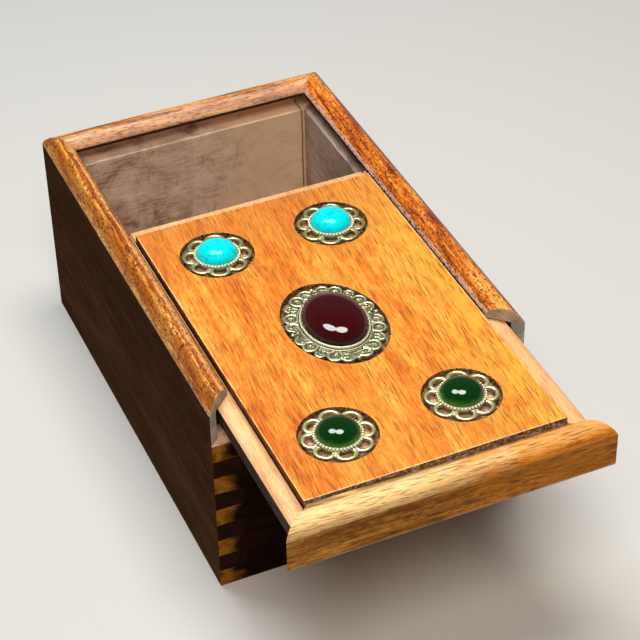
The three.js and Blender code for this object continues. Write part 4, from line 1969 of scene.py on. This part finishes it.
@dataclass
class Studio:
    """Pale floor and backdrop, soft lamps, and the camera.

    Attributes:
        camera_place: Camera position in millimetres.
        azimuth: Camera azimuth in degrees.
        elevation: Camera elevation in degrees.
        roll: Camera roll in degrees.
        focal: Focal length in pixels.
        width: Width of the image in pixels that the focal length goes by.
        floor_tone: sRGB colour of the floor.
        world_tone: sRGB colour of the surrounding light.
        world_strength: Its strength near the horizon and overhead.
        pale_strength: Strength of the background at the horizon, as seen and as mirrored.
        aim: What the lamps point at, in metres.
    """

    camera_place: Triple = (-249.52, -638.6, 587.72)
    azimuth: float = -23.004
    elevation: float = 38.7
    roll: float = -1.326
    focal: float = 2078.8
    width: int = 640
    floor_tone: str = "#D8D5CF"
    world_tone: str = "#E9EEF4"
    world_strength: tuple[float, float] = (0.13, 0.07)
    pale_strength: float = 0.6
    aim: Triple = (0.0, -0.05, 0.05)

    def _camera(self) -> None:
        """Sets the camera at the photograph's place and angle."""
        data = bpy.data.cameras.new("camera")
        data.sensor_width = 36.0
        data.lens = self.focal / self.width * data.sensor_width
        data.clip_start = 0.01
        turn, rise, roll = (math.radians(v) for v in (self.azimuth, self.elevation, self.roll))
        flat = math.cos(rise)
        back = Vector((math.sin(turn) * flat, -math.cos(turn) * flat, math.sin(rise)))
        right = Vector((math.cos(turn), math.sin(turn), 0.0))
        up = back.cross(right)
        rolled_right = right * math.cos(roll) + up * math.sin(roll)
        rolled_up = up * math.cos(roll) - right * math.sin(roll)
        matrix = Matrix((rolled_right, rolled_up, back)).transposed().to_4x4()
        matrix.translation = Vector(self.camera_place) * MM
        camera = bpy.data.objects.new("camera", data)
        camera.matrix_world = matrix
        bpy.context.scene.collection.objects.link(camera)
        bpy.context.scene.camera = camera

    def _lamp(
        self, name: str, place: Triple, size: float, power: float, tone: str, mirrored: bool = True
    ) -> None:
        """Adds a round area lamp that points at the lid.

        Args:
            name: Its name.
            place: Its place in metres.
            size: Its diameter in metres.
            power: Its power in watts.
            tone: sRGB colour of its light.
            mirrored: Whether glossy surfaces mirror it.
        """
        data = bpy.data.lights.new(name, "AREA")
        data.shape = "DISK"
        data.size = size
        data.energy = power
        data.color = linear(tone)[:3]
        lamp = bpy.data.objects.new(name, data)
        lamp.location = place
        way = Vector(self.aim) - Vector(place)
        lamp.rotation_euler = way.to_track_quat("-Z", "Y").to_euler()
        lamp.visible_glossy = mirrored
        bpy.context.scene.collection.objects.link(lamp)

    def _seen(self, tree: Tree) -> Source:
        """Gives 1 where the camera, a mirrored ray or a ray through glass looks, else 0.

        Args:
            tree: Node tree to add to.

        Returns:
            What gives that number.
        """
        path = add_node(tree, "LightPath")
        seen: Source = path.outputs["Is Camera Ray"]
        for kind in ("Is Glossy Ray", "Is Transmission Ray"):
            links = {0: seen, 1: path.outputs[kind]}
            seen = add_node(tree, "Math", {"operation": "MAXIMUM"}, links)
        return seen

    def _floor(self) -> None:
        """Adds the floor, which stays pale towards the horizon and keeps the box's shadow."""
        mesh = bmesh.new()
        half_sizes = Matrix.Diagonal((4.0, 3.0, 1.0, 1.0))
        bmesh.ops.create_grid(mesh, x_segments=1, y_segments=1, size=1.0, matrix=half_sizes)
        data = bpy.data.meshes.new("floor")
        mesh.to_mesh(data)
        mesh.free()
        material = bpy.data.materials.new("matt painted studio floor")
        material.use_nodes = True
        tree = material.node_tree
        tree.nodes.clear()
        place = add_node(tree, "TexCoord").outputs["Object"]
        away = add_node(tree, "VectorMath", {"operation": "LENGTH"}, {0: place})
        fade = SMOOTH | {"From Min": 0.4, "From Max": 2.0, "To Max": self.pale_strength}
        far = add_node(tree, "MapRange", fade, {"Value": away})
        glow = add_node(tree, "Math", {"operation": "MULTIPLY"}, {0: far, 1: self._seen(tree)})
        paint = {
            "Base Color": self.floor_tone,
            "Roughness": 0.9,
            "Emission Color": self.floor_tone,
        }
        shader = add_node(tree, "BsdfPrincipled", paint, {"Emission Strength": glow})
        add_node(tree, "OutputMaterial", links={"Surface": shader})
        data.materials.append(material)
        floor = bpy.data.objects.new("floor", data)
        bpy.context.scene.collection.objects.link(floor)

    def _world(self) -> None:
        """Surrounds the scene with pale light, brighter near the horizon than overhead."""
        world = bpy.data.worlds.new("studio")
        world.use_nodes = True
        tree = world.node_tree
        tree.nodes.clear()
        way = add_node(tree, "TexCoord").outputs["Generated"]
        height = add_node(tree, "SeparateXYZ", links={0: way}).outputs[2]
        horizon, overhead = self.world_strength
        spans = ((0.55, 0.85, horizon, overhead), (0.28, 0.02, 0.0, self.pale_strength - horizon))
        names = ("From Min", "From Max", "To Min", "To Max")
        light, pale = (
            add_node(tree, "MapRange", SMOOTH | dict(zip(names, span)), {"Value": height})
            for span in spans
        )
        links = {0: pale, 1: self._seen(tree), 2: light}
        strength = add_node(tree, "Math", {"operation": "MULTIPLY_ADD"}, links)
        sky = add_node(tree, "Background", {"Color": self.world_tone}, {"Strength": strength})
        add_node(tree, "OutputWorld", links={"Surface": sky})
        bpy.context.scene.world = world

    def build(self) -> None:
        """Sets up the whole studio."""
        self._camera()
        self._floor()
        self._world()
        self._lamp("lamp_left", (-0.162, 0.218, 1.0), 0.36, 4.6, "#EEF6FF")
        self._lamp("lamp_right", (0.112, 0.012, 1.0), 0.36, 4.6, "#FFFDF8")
        self._lamp("front_fill", (-0.36, -0.8, 1.25), 0.7, 10.0, "#FFF8EE", mirrored=False)
        bpy.context.scene.view_settings.view_transform = "Standard"


def main() -> None:
    """Builds the studio, the case, the lid and the medallions in order."""
    logging.basicConfig(level=logging.INFO, format="%(name)s: %(message)s")
    Studio().build()
    for assembly in (Case(), Lid(), Inlay()):
        for piece in assembly.build():
            LOG.info("%s: %d faces", piece.name, len(piece.data.polygons))


if __name__ == "__main__":
    main()
